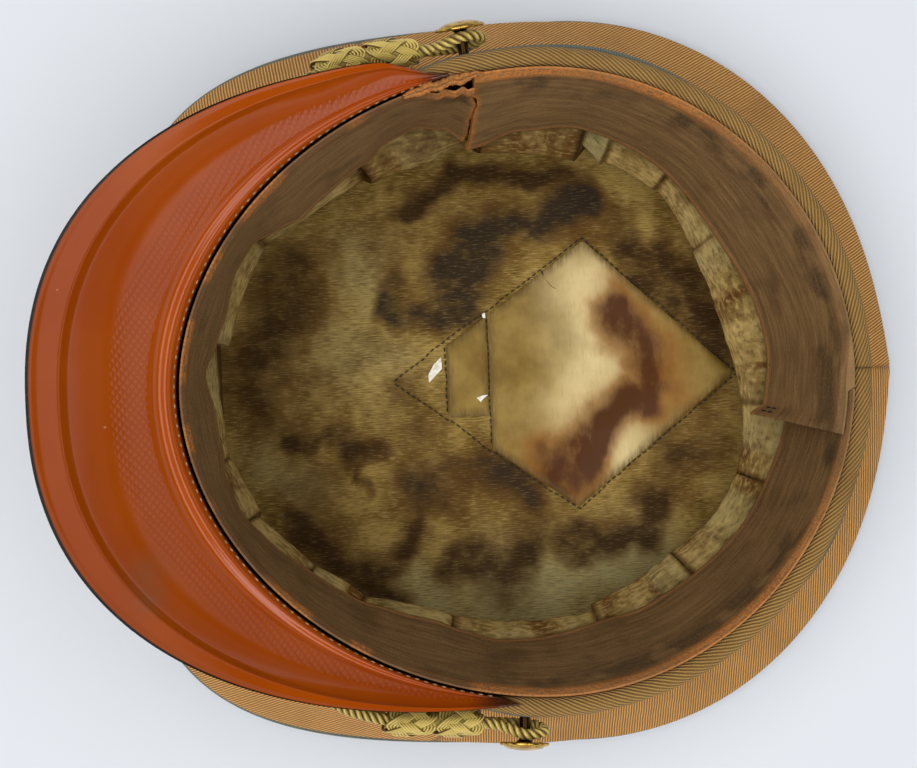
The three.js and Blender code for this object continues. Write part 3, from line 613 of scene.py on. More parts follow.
def make_piece(name, body, finish, nodes=(), uv=None, marks=None, crease=50):
    """One object of the cap, with its cloth coordinates in millimetres and its marks."""
    mesh = bpy.data.meshes.new(name)
    corners = np.concatenate([body.quads.ravel(), body.triangles.ravel()])
    sizes = np.concatenate([np.full(len(body.quads), 4), np.full(len(body.triangles), 3)])
    mesh.vertices.add(len(body.points))
    mesh.vertices.foreach_set("co", (body.points * MM).astype(np.float32).ravel())
    mesh.loops.add(len(corners))
    mesh.loops.foreach_set("vertex_index", corners.astype(np.int32))
    mesh.polygons.add(len(sizes))
    mesh.polygons.foreach_set("loop_start", (np.cumsum(sizes) - sizes).astype(np.int32))
    mesh.update(calc_edges=True)
    if uv is not None:
        layer = mesh.uv_layers.new(name="cloth")
        layer.uv.foreach_set("vector", np.asarray(uv, np.float32).reshape(-1, 2)[corners].ravel())
    for mark, values in (marks or {}).items():
        attribute = mesh.attributes.new(mark, "FLOAT", "POINT")
        attribute.data.foreach_set("value", np.asarray(values, np.float32).ravel())
    mesh.shade_smooth()
    mesh.set_sharp_from_angle(angle=math.radians(crease))
    mesh.materials.append(finish)
    piece = add_object(name, mesh)
    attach(piece, "root")
    if nodes:
        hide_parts(*nodes)
    return piece


# Materials

def paint(red, green, blue):
    """A colour as a screen shows it, from 0 to 255, in linear light."""
    shares = np.array([red, green, blue]) / 255
    linear = np.where(shares <= 0.04045, shares / 12.92, ((shares + 0.055) / 1.055) ** 2.4)
    return (*linear.tolist(), 1.0)


class Nodes:
    """A tree of shader nodes. Each method adds nodes and returns what comes out of the last."""

    def __init__(self, tree):
        self.tree = tree

    def put(self, socket, value):
        if isinstance(value, bpy.types.NodeSocket):
            self.tree.links.new(value, socket)
        else:
            socket.default_value = value

    def node(self, kind, inputs, out=0, **settings):
        made = self.tree.nodes.new("ShaderNode" + kind)
        for key, value in settings.items():
            setattr(made, key, value)
        for key, value in inputs.items():
            self.put(made.inputs[key], value)
        return made.outputs[out]

    def cloth(self):
        return self.node("UVMap", {}, uv_map="cloth")

    def space(self):
        return self.node("TexCoord", {}, out=3)

    def mark(self, name):
        return self.node("Attribute", {}, out=2, attribute_name=name)

    def math(self, operation, a, b=0.0, c=0.5):
        return self.node("Math", {0: a, 1: b, 2: c}, operation=operation)

    def times(self, a, b):
        return self.math("MULTIPLY", a, b)

    def vector(self, operation, a, b, out=0):
        return self.node("VectorMath", {0: a, 1: b}, out=out, operation=operation)

    def mix(self, share, a, b, mode="MIX"):
        return self.node("Mix", {0: share, 6: a, 7: b}, out=2, data_type="RGBA", blend_type=mode)

    def shifted(self, vector, share, amount):
        """A vector moved about by a noise's colour."""
        about = self.vector("SUBTRACT", share, (0.5, 0.5, 0.5))
        moved = self.node("VectorMath", {0: about, 3: amount}, operation="SCALE")
        return self.vector("ADD", vector, moved)

    def noise(self, vector, scale, detail=4, rough=0.55, out=0):
        inputs = {"Vector": vector, "Scale": scale, "Detail": detail, "Roughness": rough}
        return self.node("TexNoise", inputs, out=out)

    def drawn_noise(self, vector, stretch, scale, detail, rough):
        """Noise drawn out along X or Y."""
        return self.noise(self.vector("MULTIPLY", vector, (*stretch, 1)), scale, detail, rough)

    def cells(self, vector, scale, feature="F1"):
        return self.node("TexVoronoi", {"Vector": vector, "Scale": scale}, feature=feature)

    def ribs(self, vector, lean, spacing):
        """Waves from 0 to 1, spacing apart, with crests that lean from the cloth's second way."""
        turn = math.radians(lean)
        way = (TAU / spacing * math.cos(turn), -TAU / spacing * math.sin(turn), 0)
        phase = self.vector("DOT_PRODUCT", vector, way, 1)
        return self.math("MULTIPLY_ADD", self.math("SINE", phase), 0.5)

    def span(self, value, low, high, to_low=0.0, to_high=1.0):
        inputs = {0: value, 1: low, 2: high, 3: to_low, 4: to_high}
        return self.node("MapRange", inputs, interpolation_type="SMOOTHSTEP")

    def bump(self, height, distance, strength=1.0, under=None):
        inputs = {"Height": height, "Distance": distance * MM, "Strength": strength}
        if under is not None:
            inputs["Normal"] = under
        return self.node("Bump", inputs)


class Finish(Nodes):
    """A procedural material, with the colour that it has so far."""

    def __init__(self, name, **fixed):
        self.material = bpy.data.materials.new(name)
        self.material.use_nodes = True
        super().__init__(self.material.node_tree)
        self.surface = self.tree.nodes["Principled BSDF"]
        self.give(**fixed)

    def give(self, **values):
        """Sets the surface's own inputs, base_color standing for Base Color."""
        for key, value in values.items():
            self.put(self.surface.inputs[key.replace("_", " ").title().replace("Ior", "IOR")], value)

    def start(self, value, low, high, first, second):
        """The ground colour: from a first to a second tint as a value goes from low to high."""
        self.colour = self.mix(self.span(value, low, high), paint(*first), paint(*second))

    def lay(self, share, tint, mode="MIX"):
        """Lays a tint over the colour so far."""
        self.colour = self.mix(share, self.colour, paint(*tint), mode)

    def wash(self, value, low, high, most, tint, mode="MIX"):
        """Lays a tint over the colour so far, up to its most as a value goes from low to high."""
        self.lay(self.span(value, low, high, 0, most), tint, mode)

    def done(self, **values):
        self.give(base_color=self.colour, **values)
        return self.material


def twill(name, lean, spacing, crest, groove, soil):
    """Ribbed wool twill: diagonal ribs, finer cross threads, fading and soiled patches."""
    f = Finish(name, roughness=0.9, specular_ior_level=0.2, sheen_weight=0.04)
    cloth = f.cloth()
    wander = f.shifted(cloth, f.noise(cloth, 0.35, 2, out=1), 0.3)
    thread = f.ribs(wander, lean - 78, spacing * 0.55)
    relief = f.math("ADD", f.ribs(wander, lean, spacing), f.times(thread, 0.3))
    fuzz = f.noise(cloth, 5, 3)
    f.start(relief, 0.15, 1.05, groove, crest)
    f.wash(f.noise(cloth, 0.04, 4, 0.6), 0.45, 0.75, 0.35, soil)
    f.wash(f.mark("soil"), 0, 1, 0.75, soil)
    f.wash(fuzz, 0.3, 0.75, 0.12, crest, "SCREEN")
    return f.done(normal=f.bump(f.math("ADD", relief, f.times(fuzz, 0.3)), 0.4))


def lacquer(name):
    """Lacquered fibre: rust orange and embossed below, black on top and along the edge, and painted black as
    shade at its root and its arms' ends.
    """
    f = Finish(name, specular_ior_level=0, coat_weight=0.8, coat_roughness=0.1, coat_ior=1.5)
    cloth = f.cloth()
    hatch = f.math("MINIMUM", f.ribs(cloth, 32, 1.35), f.ribs(cloth, -38, 1.35))
    mask = f.mark("hatch")
    f.start(f.noise(cloth, 0.025, 3), 0.35, 0.7, (164, 68, 2), (172, 76, 4))
    f.lay(f.times(f.span(hatch, 0.35, 0, 0, 0.45), mask), (132, 48, 3))
    scuff = f.times(f.mark("scuff"), f.span(f.noise(cloth, 1.6, 5, 0.7), 0.3, 0.58))
    f.lay(f.times(scuff, 0.5), (128, 92, 62))
    f.lay(f.times(f.span(f.cells(cloth, 0.085), 0.045, 0.02), 0.6), (205, 160, 110))
    wear = f.span(f.noise(cloth, 0.6, 5), 0.5, 0.72, 0, 0.5)
    black = f.mix(wear, paint(22, 20, 18), paint(58, 50, 42))
    # The black mark: black lacquer on top and along the edge, and painted shade at the root and the arms'
    # ends
    f.colour = f.mix(f.mark("black"), f.colour, black)
    ripple = f.bump(f.noise(cloth, 0.06, 2), 0.2, 0.4)
    normal = f.bump(f.times(hatch, mask), 0.03, 1, ripple)
    dull = f.span(f.noise(cloth, 0.2, 4), 0.3, 0.8, 0.4, 0.6)
    return f.done(roughness=dull, normal=normal, coat_normal=normal)


def leather(name):
    """Old sweatband leather: creased lengthwise, blotched, worn orange along the rim and torn ends."""
    f = Finish(name, specular_ior_level=0.25)
    cloth = f.cloth()
    streak = f.drawn_noise(cloth, (0.12, 1), 0.55, 6, 0.65)
    fine = f.noise(cloth, 1.1, 5, 0.65)
    f.start(streak, 0.3, 0.7, (118, 90, 56), (150, 116, 74))
    f.wash(f.noise(cloth, 0.05, 5, 0.6), 0.5, 0.7, 0.6, (92, 70, 44))
    f.wash(fine, 0.58, 0.78, 0.5, (70, 54, 34))
    f.lay(f.times(f.mark("grime"), f.span(fine, 0.3, 0.65, 0.4, 1)), (58, 46, 34))
    f.lay(f.times(f.mark("worn"), f.span(fine, 0.35, 0.6, 0.1, 1)), (200, 124, 58))
    pores = f.cells(cloth, 1.4, "DISTANCE_TO_EDGE")
    grained = f.bump(f.span(pores, 0, 0.25), 0.08, 0.8)
    normal = f.bump(f.math("ADD", streak, f.times(fine, 0.5)), 0.4, 1, grained)
    return f.done(roughness=f.span(fine, 0.3, 0.75, 0.55, 0.8), normal=normal)


def satin(name, shade, light, streaked):
    """Stained satin: fine threads along X, dark and blue-black stains with brown halos, pale patches; the
    dark mark carries painted shade too, and the pale mark is painted sheen.
    """
    f = Finish(name, specular_ior_level=0.07)
    cloth = f.cloth()
    weft = f.drawn_noise(cloth, (0.12, 1), 2.6, 3, 0.6)
    slub = f.drawn_noise(cloth, (0.25, 1), 0.8, 4, 0.6)
    mottle = f.noise(cloth, 0.07, 5, 0.55)
    f.start(mottle, 0.32, 0.68, shade, light)
    f.wash(slub, 0.48, 0.75, 0.35, (70, 50, 20))
    brown = f.drawn_noise(cloth, (0.6, 1), 0.14, 6, 0.66)
    f.lay(f.times(f.span(brown, 0.46, 0.66), streaked), (92, 58, 22))
    # Painted sheen: the pale greenish-grey patches
    f.lay(f.times(f.mark("pale"), f.span(mottle, 0.2, 0.6, 0.5, 0.9)), (152, 142, 96))
    f.wash(weft, 0.5, 0.68, 0.5, (58, 40, 14))
    f.wash(weft, 0.5, 0.32, 0.4, (196, 168, 104))
    smoke = f.span(f.drawn_noise(cloth, (0.7, 1), 0.07, 6, 0.62), 0.3, 0.7, 0.6, 1.75)
    # The dark mark holds stains and painted shade alike
    for mark, tint in (("dark", (48, 28, 5)), ("blue", (40, 31, 20))):
        stain = f.times(f.mark(mark), smoke)
        f.wash(stain, 0, 0.5, 0.6, (92, 62, 22))
        f.wash(stain, 0.15, 1.05, 0.92, tint)
    f.wash(weft, 0.47, 0.32, 0.16, (170, 146, 92))
    normal = f.bump(weft, 0.12, 0.9, f.bump(slub, 0.3, 0.6))
    return f.done(roughness=f.span(weft, 0.3, 0.7, 0.45, 0.7), normal=normal)


def celluloid(name):
    """Yellowed celluloid over satin: mottled, with a pale glow painted as a highlight, stained brown, grimy
    along its sewn edge.
    """
    f = Finish(name, specular_ior_level=0.08, coat_weight=0.06, coat_roughness=0.18, coat_ior=1.5)
    cloth = f.cloth()
    mottle = f.noise(cloth, 0.06, 5, 0.6)
    fine = f.drawn_noise(cloth, (1, 0.12), 1.3, 5, 0.7)
    f.start(mottle, 0.3, 0.7, (118, 92, 36), (158, 130, 66))
    # Painted highlight: the pale glow on the shield
    f.lay(f.times(f.mark("painted_glow"), f.span(mottle, 0.25, 0.6, 0.7, 1)), (228, 206, 150))
    f.wash(fine, 0.5, 0.75, 0.3, (124, 94, 42))
    smoke = f.span(f.drawn_noise(cloth, (1, 0.6), 0.08, 6, 0.62), 0.3, 0.7, 0.65, 1.45)
    stain = f.times(f.mark("dark"), smoke)
    f.wash(stain, 0.02, 0.5, 0.75, (140, 88, 26))
    f.wash(stain, 0.28, 1.1, 0.95, (74, 36, 4))
    f.lay(f.times(f.mark("grime"), f.span(fine, 0.3, 0.6, 0.2, 0.75)), (80, 60, 26))
    normal = f.bump(f.noise(cloth, 0.12, 3), 0.6, 0.6)
    return f.done(roughness=f.span(fine, 0.3, 0.7, 0.3, 0.5), normal=normal)


def glint_celluloid(name):
    """Chips of celluloid painted nearly white, as glints where they catch the light."""
    f = Finish(name, specular_ior_level=0.5, roughness=0.25)
    space = f.space()
    f.start(f.noise(space, 500, 4), 0.35, 0.7, (246, 244, 236), (206, 194, 158))
    return f.done(normal=f.bump(f.noise(space, 900, 2), 0.05, 0.4))


def gold_thread(name):
    """Gilt thread: every strand has its own fine twist, and painted shade along its sides."""
    f = Finish(name, metallic=0.05, roughness=0.42)
    twist = f.ribs(f.cloth(), 38, 0.34)
    f.colour = f.mix(twist, paint(240, 198, 88), paint(255, 236, 142))
    f.wash(f.noise(f.space(), 260, 4), 0.5, 0.75, 0.25, (188, 142, 56))
    # Painted shade on the sides of each strand, and over the slide's sleeve
    f.wash(f.mark("deep"), 0.1, 0.8, 1, (104, 70, 20))
    return f.done(normal=f.bump(twist, 0.09))


def gilt(name):
    """Gilt brass, tarnished in patches, its shank painted dark as shade."""
    f = Finish(name, metallic=1)
    space = f.space()
    tarnish = f.noise(space, 420, 5, 0.65)
    f.start(tarnish, 0.45, 0.7, (206, 166, 80), (120, 84, 30))
    # Painted shade: the shank, dark under the button's head
    f.lay(f.mark("deep"), (52, 36, 14))
    normal = f.bump(f.noise(space, 900, 3), 0.06, 0.6)
    return f.done(roughness=f.span(tarnish, 0.35, 0.7, 0.16, 0.36), normal=normal)


def piping_cloth(name):
    """Plain weave over a cord, pale blue-grey and dusty."""
    f = Finish(name, roughness=0.9, specular_ior_level=0.2)
    cloth = f.cloth()
    weave = f.times(f.ribs(cloth, 40, 0.5), f.ribs(cloth, -50, 0.5))
    f.colour = f.mix(weave, paint(94, 100, 92), paint(146, 154, 144))
    f.wash(f.noise(cloth, 0.12, 5, 0.6), 0.45, 0.7, 0.6, (138, 122, 88))
    return f.done(normal=f.bump(weave, 0.12))


def sewing_thread(name, light, dark):
    f = Finish(name, roughness=0.8)
    space = f.space()
    f.start(f.noise(space, 1500, 3), 0.3, 0.7, light, dark)
    return f.done(normal=f.bump(f.noise(space, 4000, 2), 0.05))


def table_top(name):
    f = Finish(name, roughness=0.55, specular_ior_level=0.3)
    space = f.space()
    f.colour = f.mix(f.noise(space, 3, 5, 0.6), paint(214, 219, 226), paint(222, 226, 232))
    away = f.node("VectorMath", {0: space}, out=1, operation="LENGTH")
    # Painted shade: the table turns grey from TABLE.near to TABLE.far away from the cap, as if the light fell
    # off
    f.wash(away, TABLE.near, TABLE.far, 1, (96, 98, 102))
    return f.done(normal=f.bump(f.noise(space, 300, 3), 0.02, 0.3))


BAND_TWILL = twill("band_twill", **BAND_RIBS)
LACQUER = lacquer("visor_lacquer")
LEATHER_FINISH = leather("sweatband_leather")
TOP_SATIN = satin("lining_satin", (108, 82, 28), (162, 134, 70), 0.45)
PLEAT_SATIN = satin("pleat_satin", (120, 96, 48), (168, 142, 86), 0.95)
CELLULOID = celluloid("celluloid")
GLINT_CELLULOID = glint_celluloid("glint_celluloid")
GOLD_THREAD = gold_thread("gold_thread")
GILT = gilt("gilt_metal")
PIPING_CLOTH = piping_cloth("piping_cloth")
PALE_THREAD = sewing_thread("pale_thread", (196, 160, 120), (120, 90, 62))
DARK_THREAD = sewing_thread("dark_thread", (44, 34, 18), (20, 15, 8))
TABLE_TOP = table_top("table_top")


# Camera, floor and light

def set_camera():
    camera = add_object("camera", bpy.data.cameras.new("camera"))
    camera.location = [MM * value for value in CAMERA.place]
    camera.rotation_euler = (0, 0, math.radians(CAMERA.turn))
    camera.data.lens = CAMERA.lens
    camera.data.sensor_width = CAMERA.sensor
    bpy.context.scene.camera = camera
    bpy.context.scene.view_settings.view_transform = "Standard"


def set_floor():
    half = TABLE.half
    corners = [(-half, -half), (half, -half), (half, half), (-half, half)]
    floor = bpy.data.meshes.new("floor")
    floor.from_pydata([(x, y, TABLE.z) for x, y in corners], [], [(0, 1, 2, 3)])
    floor.materials.append(TABLE_TOP)
    add_object("floor", floor)


def set_light():
    world = bpy.data.worlds.new("studio")
    world.use_nodes = True
    bpy.context.scene.world = world
    studio = Nodes(world.node_tree)
    way = studio.node("TexCoord", {})
    ring = studio.node("ValToRGB", {0: studio.node("SeparateXYZ", {0: way}, out=2)})
    stops = ring.node.color_ramp.elements
    for place, _ in LIGHT_RING[1:-1]:
        stops.new(place)
    for stop, (_, share) in zip(stops, LIGHT_RING):
        stop.color = (share, share, share, 1)
    lean = studio.vector("DOT_PRODUCT", way, LIGHT_LEAN, 1)
    background = world.node_tree.nodes["Background"].inputs
    studio.put(background["Color"], ring)
    studio.put(background["Strength"], studio.math("MULTIPLY_ADD", lean, LIGHT_STRENGTH, LIGHT_STRENGTH))


set_camera()
set_floor()
set_light()


# Crown

def crown_top():
    angle = np.linspace(0, 360, CROWN_TOP_GRID.stations, endpoint=False)[:, None]
    scale = CROWN_SHOULDER[-1][0] * np.linspace(FIRST_RING, 1, CROWN_TOP_GRID.rings)[None, :]
    under = crown_point(angle, 0, reading(CROWN_SHOULDER, scale), scale)
    low, high = (crown_point(angle, -CROWN_SEAM, z) for z in CROWN_EDGE)
    wrinkle = uneven("crown_wrinkle", under[..., 0], under[..., 1]) * smooth(scale, *CROWN_WRINKLED)
    under[..., 2] += np.abs(wrinkle)
    over = np.concatenate([under + CLOTH * UP, high], 1)
    under = np.concatenate([under, low], 1)
    reach = np.broadcast_to(np.append(scale, 1), over.shape[:2])
    soil = CROWN_TOP_SOIL.share * smooth(reach, CROWN_TOP_SOIL.start, 1)
    finish = twill("crown_twill", **CROWN_TOP_RIBS)
    marks = {"soil": middled(soil)}
    uv = middled(over[..., :2])
    make_piece("crown_top_cloth", disc(over, under), finish, ["crown_top"], uv, marks)


def quarter(name, start, end, puff, lean, spacing):
    angle = np.linspace(start, end, QUARTER_GRID.stations)[:, None]
    f = np.linspace(0, 1, QUARTER_GRID.columns)[None, :]
    arch = np.sin(np.pi * f)
    first = cap_point(angle, BAND.outside, -BAND.height - GAP)
    along = crown_point(angle, QUARTER_EDGE.grow, QUARTER_EDGE.z + CLOTH) - first
    level = unit(along * LEVEL)
    flat = np.hypot(along[..., 0], along[..., 1])
    normal = unit(flat[..., None] * UP - level * along[..., 2:])
    roll = smooth(f, QUARTER_ROLL.start, QUARTER_ROLL.full)
    roll = roll * lerp(1, QUARTER_ROLL.end, smooth(f, QUARTER_ROLL.full, 1))
    face = first + along * f[..., None] + normal * (puff * arch)[..., None]
    face = face + level * (QUARTER_ROLL.out * roll)[..., None]
    length = run_length(face)
    ends = np.minimum(length, length[-1] - length)
    seam = bell(ends, 0, QUARTER_SEAM.reach)
    u = length[:, QUARTER_GRID.columns // 2][:, None]
    v = run_length(face[0])[None, :]
    from_back = length if start == 0 else length[-1] - length
    peak = BACK_SEAM.out * np.exp(-from_back / BACK_SEAM.reach) * roll * (start == 0 or end == 360)
    pucker = QUARTER_PUCKER.depth * np.sin(v * TAU / QUARTER_PUCKER.pitch)
    pucker = pucker * bell(ends, QUARTER_PUCKER.at, QUARTER_PUCKER.spread)
    rise = (uneven("quarter_sag", u, v) + pucker) * arch - QUARTER_SEAM.depth * seam
    inset = np.zeros(face.shape)
    inset[[0, -1]] = (side_frame(angle)[0] * QUARTER_SEAM.gap / 2)[[0, -1]] * np.array([1, -1])[:, None, None]
    face = face + level * peak[..., None] + normal * rise[..., None] + inset
    back = face - normal * CLOTH
    back[:, -1] = crown_point(angle, QUARTER_EDGE.grow, QUARTER_EDGE.z)[:, 0] + inset[:, -1]
    soil = np.maximum(QUARTER_SOIL.seam * seam, QUARTER_SOIL.edge * smooth(f, QUARTER_SOIL.start, 1))
    finish = twill(name + "_twill", lean, spacing, **QUARTER_COLOURS)
    uv = twice(face[..., :2])
    make_piece(name + "_cloth", shell(face, back), finish, [name], uv, {"soil": twice(soil)})


def piping(name, radius, place):
    """A round cord under cloth in a loop; place gives a point of its section at an angle."""
    angle = np.linspace(0, 360, PIPING_GRID.stations, endpoint=False)[:, None]
    turn = np.linspace(0, TAU, PIPING_GRID.sides, endpoint=False)[None, :]
    sections = place(angle, radius * np.cos(turn), radius * np.sin(turn))
    uv = cloth_places(run_length(sections), radius * turn)
    make_piece(name + "_cloth", torus(sections), PIPING_CLOTH, [name], uv)


def rim_piping_place(angle, out, up):
    peek = sum(far * bell(wrapped(angle), at, spread) for at, spread, far in PIPING_PEEKS)
    hidden = under_visor(angle)
    size = lerp(1, PIPING_HIDDEN.size, hidden)
    seat = BAND.outside + lerp(GAP, PIPING_HIDDEN.gap, hidden) + BAND_PIPING.radius * size
    return cap_point(angle, seat + peek + out * size, BAND_PIPING.height + up * size)


def crown_piping_place(angle, out, up):
    return crown_point(angle, out - CROWN_PIPING.radius, CROWN_PIPING.z + up)


crown_top()
for row in QUARTERS:
    quarter(*row)
piping("band_piping", BAND_PIPING.radius, rim_piping_place)
piping("crown_piping", CROWN_PIPING.radius, crown_piping_place)


# Band

def band():
    angle = np.linspace(BAND_SEAM.gap, 360 - BAND_SEAM.gap, BAND_GRID.stations)[:, None]
    here = wrapped(angle)
    seam = BAND_SEAM.depth * bell(here, 0, BAND_SEAM.spread)
    radius = lerp(BAND.roll, VISOR_ROLL.radius, under_visor(angle)) - seam
    turn = np.radians(np.linspace(BAND_GRID.roll_start, BAND_GRID.roll_end, BAND_GRID.roll))[None, :]
    wall = np.linspace(-BAND.height, BAND.neck, BAND_GRID.wall)[None, :] + 0 * seam
    outer = BAND.outside - seam + 0 * wall
    inner = BAND.outside - BAND.wall + 0 * wall
    grow = np.concatenate([outer, BAND.roll_centre + radius * np.cos(turn), inner], 1)
    roll_height = roll_top(angle) - radius - seam + radius * np.sin(turn)
    height = np.concatenate([wall, roll_height, wall[:, ::-1]], 1)
    lump = uneven("rim_lump", np.radians(angle) * BAND_LUMP_RADIUS, height) * (height > BAND.neck)
    sections = cap_point(angle, grow + lump, height)
    u = run_length(cap_point(angle, BAND.outside, 0))
    v = run_length(np.stack([grow[0], height[0]], 1))[None, :]
    soil = BAND_SOIL.patch * smooth(uneven("rim_soil", u, v), BAND_SOIL.low, BAND_SOIL.high)
    soil = soil * bell(here, BAND_SOIL.at, BAND_SOIL.spread)
    soil = soil + BAND_SOIL.back * bell(here, 0, BAND_SOIL.back_spread)
    soil = np.maximum(soil, BAND_SOIL.seam * bell(here, 0, BAND_SEAM.spread))
    uv = cloth_places(u, v)
    make_piece("band_cloth", torus(sections), BAND_TWILL, ["band"], uv, {"soil": soil})


band()


# Visor

def visor_edge(side):
    turn = side * np.pi / 2
    power = 2 / VISOR.square
    ahead = VISOR.depth * np.abs(np.cos(turn)) ** power
    across = VISOR.half * np.sign(side) * np.abs(np.sin(turn)) ** power
    slope = math.radians(VISOR.slope)
    tip = VISOR.tip - of_arm(side > 0, "short") * smooth(np.abs(side), VISOR_ARM.start, 1)
    return point(tip - ahead * math.cos(slope), across, VISOR.tip_lift + ahead * math.sin(slope))


def visor_shell(side, across, lift):
    """Points of the visor, from its root to its edge, raised over its underside by lift."""
    angle = lerp(180, of_arm(side > 0, "angle"), np.abs(side)) * np.where(side < 0, -1, 1)
    root = rim_point(angle, VISOR.root, roll_top(angle))
    edge = visor_edge(side)
    width = np.linalg.norm(edge - root, axis=-1)
    fade = np.minimum(1, width / (VISOR.depth / VISOR_RELIEF.full))
    narrow = lerp(1, of_arm(side > 0, "width"), smooth(np.abs(side), VISOR_ARM.taper, 1))
    points = root + (edge - root) * (across * narrow)[..., None]
    up = lift(fade) - VISOR.dish * fade * np.sin(np.pi * across)
    return to_cap(points + up[..., None] * UP)


def visor():
    side = np.linspace(-1, 1, VISOR_GRID.stations)[:, None]
    across = np.linspace(0, 1, VISOR_GRID.columns)[None, :]
    relief = softened(np.interp(across, *np.array(VISOR_LIFT).T), 1, VISOR_RELIEF.soft)
    least = VISOR_RELIEF.least
    face = visor_shell(side, across, lambda fade: VISOR.thick + relief * np.minimum(1, least + fade))
    back = visor_shell(side, across, lambda fade: 0 * fade)
    start, full, fall, end = VISOR_HATCH
    hatch = smooth(across, start, full) * (1 - smooth(across, fall, end))
    # Black along the edge, and painted shade as black at the root and at the arms' ends
    black = np.maximum(smooth(across, *VISOR_EDGE_BLACK), 1 - smooth(across, *VISOR_ROOT_SHADE))
    black = np.maximum(black, VISOR_ARM.shade * smooth(np.abs(side), *VISOR_ARM.dark))
    scuff = sum(bell(np.hypot(face[..., 0] - x, face[..., 1] - y), 0, size) for x, y, size in VISOR_SCUFFS)
    marks = {}
    for mark, seen, hidden in (("hatch", hatch, 0), ("black", black, 1), ("scuff", scuff, 0)):
        seen = np.broadcast_to(seen, face.shape[:2])
        marks[mark] = np.concatenate([seen, np.full(seen.shape, hidden)])
    uv = twice(face[..., :2])
    body = shell(face, back)
    make_piece("visor_shell", body, LACQUER, ["visor"], uv, marks, VISOR_RELIEF.crease)

    side = np.linspace(-ROOT_STITCH.end, ROOT_STITCH.end, ROOT_STITCH.points)[:, None]
    across = np.full((1, 1), ROOT_STITCH.across)
    line = visor_shell(side, across, lambda fade: VISOR.thick - ROOT_STITCH.sunk + 0 * fade)[:, 0]
    make_piece("visor_stitches", stitches(line, UP, ROOT_STITCH), PALE_THREAD)


visor()


# Sweatband

def leather_grow(lean, stand, share):
    seat = LEATHER.seat + stand
    return -seat - (lean - seat) * share ** LEATHER.bow


def leather_marks(u, v, share, angle, from_tear, hang):
    """Where the leather has worn orange, and where it is grimy."""
    open_rim = 1 - under_visor(wrapped(angle))
    crease = LEATHER_CREASE
    fade = LEATHER_WORN.end + LEATHER_WORN.spread * (uneven("worn_edge", u) + uneven("worn_speck", u, v))
    edge = 1 - smooth(v, LEATHER_WORN.start, np.maximum(fade, LEATHER_WORN.start + LEATHER_WORN.least))
    beside_visor = VISOR_WORN.least + VISOR_WORN.more * smooth(uneven("worn_visor", u), 0, VISOR_WORN.full)
    round_head = np.clip(wrapped(angle), LEATHER_WORN_ROUND[0][0], LEATHER_WORN_ROUND[-1][0])
    beside_head = reading(LEATHER_WORN_ROUND, round_head) + uneven("worn_head", u)
    worn = edge * lerp(beside_visor, beside_head, open_rim)
    worn = np.maximum(worn, LEATHER_WORN.ridge_share * bell(share, LEATHER_WORN.ridge, crease.width))
    worn = np.maximum(worn, hang / TEAR.open * (1 - smooth(v, *LEATHER_WORN.lip)))
    worn = np.maximum(worn, 1 - smooth(from_tear, *TEAR_WORN))
    g = LEATHER_GRIME
    patches = smooth(uneven("grime_patch", u, v) + uneven("grime_speck", u, v), g.low, g.high)
    grime = g.share * bell(v, g.at, g.spread) * patches * open_rim
    grime = np.maximum(grime, g.visor * edge * (1 - open_rim))
    grime = np.maximum(grime, g.crease * bell(share, crease.at, crease.width * g.crease_width))
    return {"worn": twice(np.clip(worn, 0, 1)), "grime": twice(grime)}


def sweatband(name, table, stations, stand_at, slant_at, torn):
    """A strip of leather; torn is -1 or 1 for its first or last end."""
    f = np.linspace(0, 1, stations)[:, None]
    angle = lerp(table[0][0], table[-1][0], f)
    share = np.linspace(0, 1, LEATHER_GRID.columns)[None, :]
    u = run_length(rim_point(angle, LEATHER.measured, 0)) + 0 * share
    v = share * LEATHER.height + 0 * f
    from_tear = u if torn < 0 else u.max() - u
    rag = 1 - smooth(from_tear, 0, TEAR.reach)
    slip = TEAR.drop * (1 - smooth(from_tear, TEAR.slip / 3, TEAR.slip)) * (torn < 0)
    height = lerp(LEATHER.top - slip, -LEATHER.height, share)
    height = height + smooth(share, LEATHER.free, 1) * (uneven("leather_edge", u) + uneven("leather_nick", u))
    slant = TEAR.slant * (1 - smooth(share, 0, TEAR.straight))
    place = angle + slant_at(f) * share
    place = place + rag * (slant + uneven("tear_wave", v) + uneven("tear_rag", v, u, torn))
    place = place + torn * TEAR.close * rag
    hang = TEAR.open * slip / TEAR.drop * (1 - share) ** 2 * (1 + uneven("tear_hang", u))
    stand = stand_at(angle)
    grow = leather_grow(reading(table, angle), stand, share) - hang
    filled = stand * smooth(angle, *LAP.fill) * (1 - smooth(share, 0, LAP.fill_reach))
    crease = LEATHER_CREASE.depth * bell(share, LEATHER_CREASE.at, LEATHER_CREASE.width)
    wrinkle = uneven("leather_wrinkle", u, v) + uneven("leather_crease", u * LEATHER_WRINKLE.stretch, v)
    wrinkle = LEATHER_WRINKLE.depth * wrinkle * smooth(share, LEATHER_WRINKLE.start, LEATHER_WRINKLE.full)
    bevel = lerp(LEATHER_BEVEL.sewn, 1, smooth(share, 0, LEATHER_BEVEL.sewn_reach))
    bevel = bevel * lerp(1, LEATHER_BEVEL.free, smooth(share, LEATHER_BEVEL.free_start, 1))
    face = cap_point(place, grow - LEATHER.thick * bevel + crease + wrinkle, height)
    back = cap_point(place, grow + filled, height)
    marks = leather_marks(u, v, share, angle, from_tear, hang)
    uv = twice(cloth_places(u, v))
    make_piece(name + "_leather", shell(face, back), LEATHER_FINISH, [name], uv, marks)
    return face, u, share


def lap_stand(angle):
    return LAP.stand * (1 - smooth(angle, LAP.start, LAP.end))


def lap_slant(f):
    return LAP.slant * (1 - f) ** LAP.fade


def none_at(place):
    return 0 * place


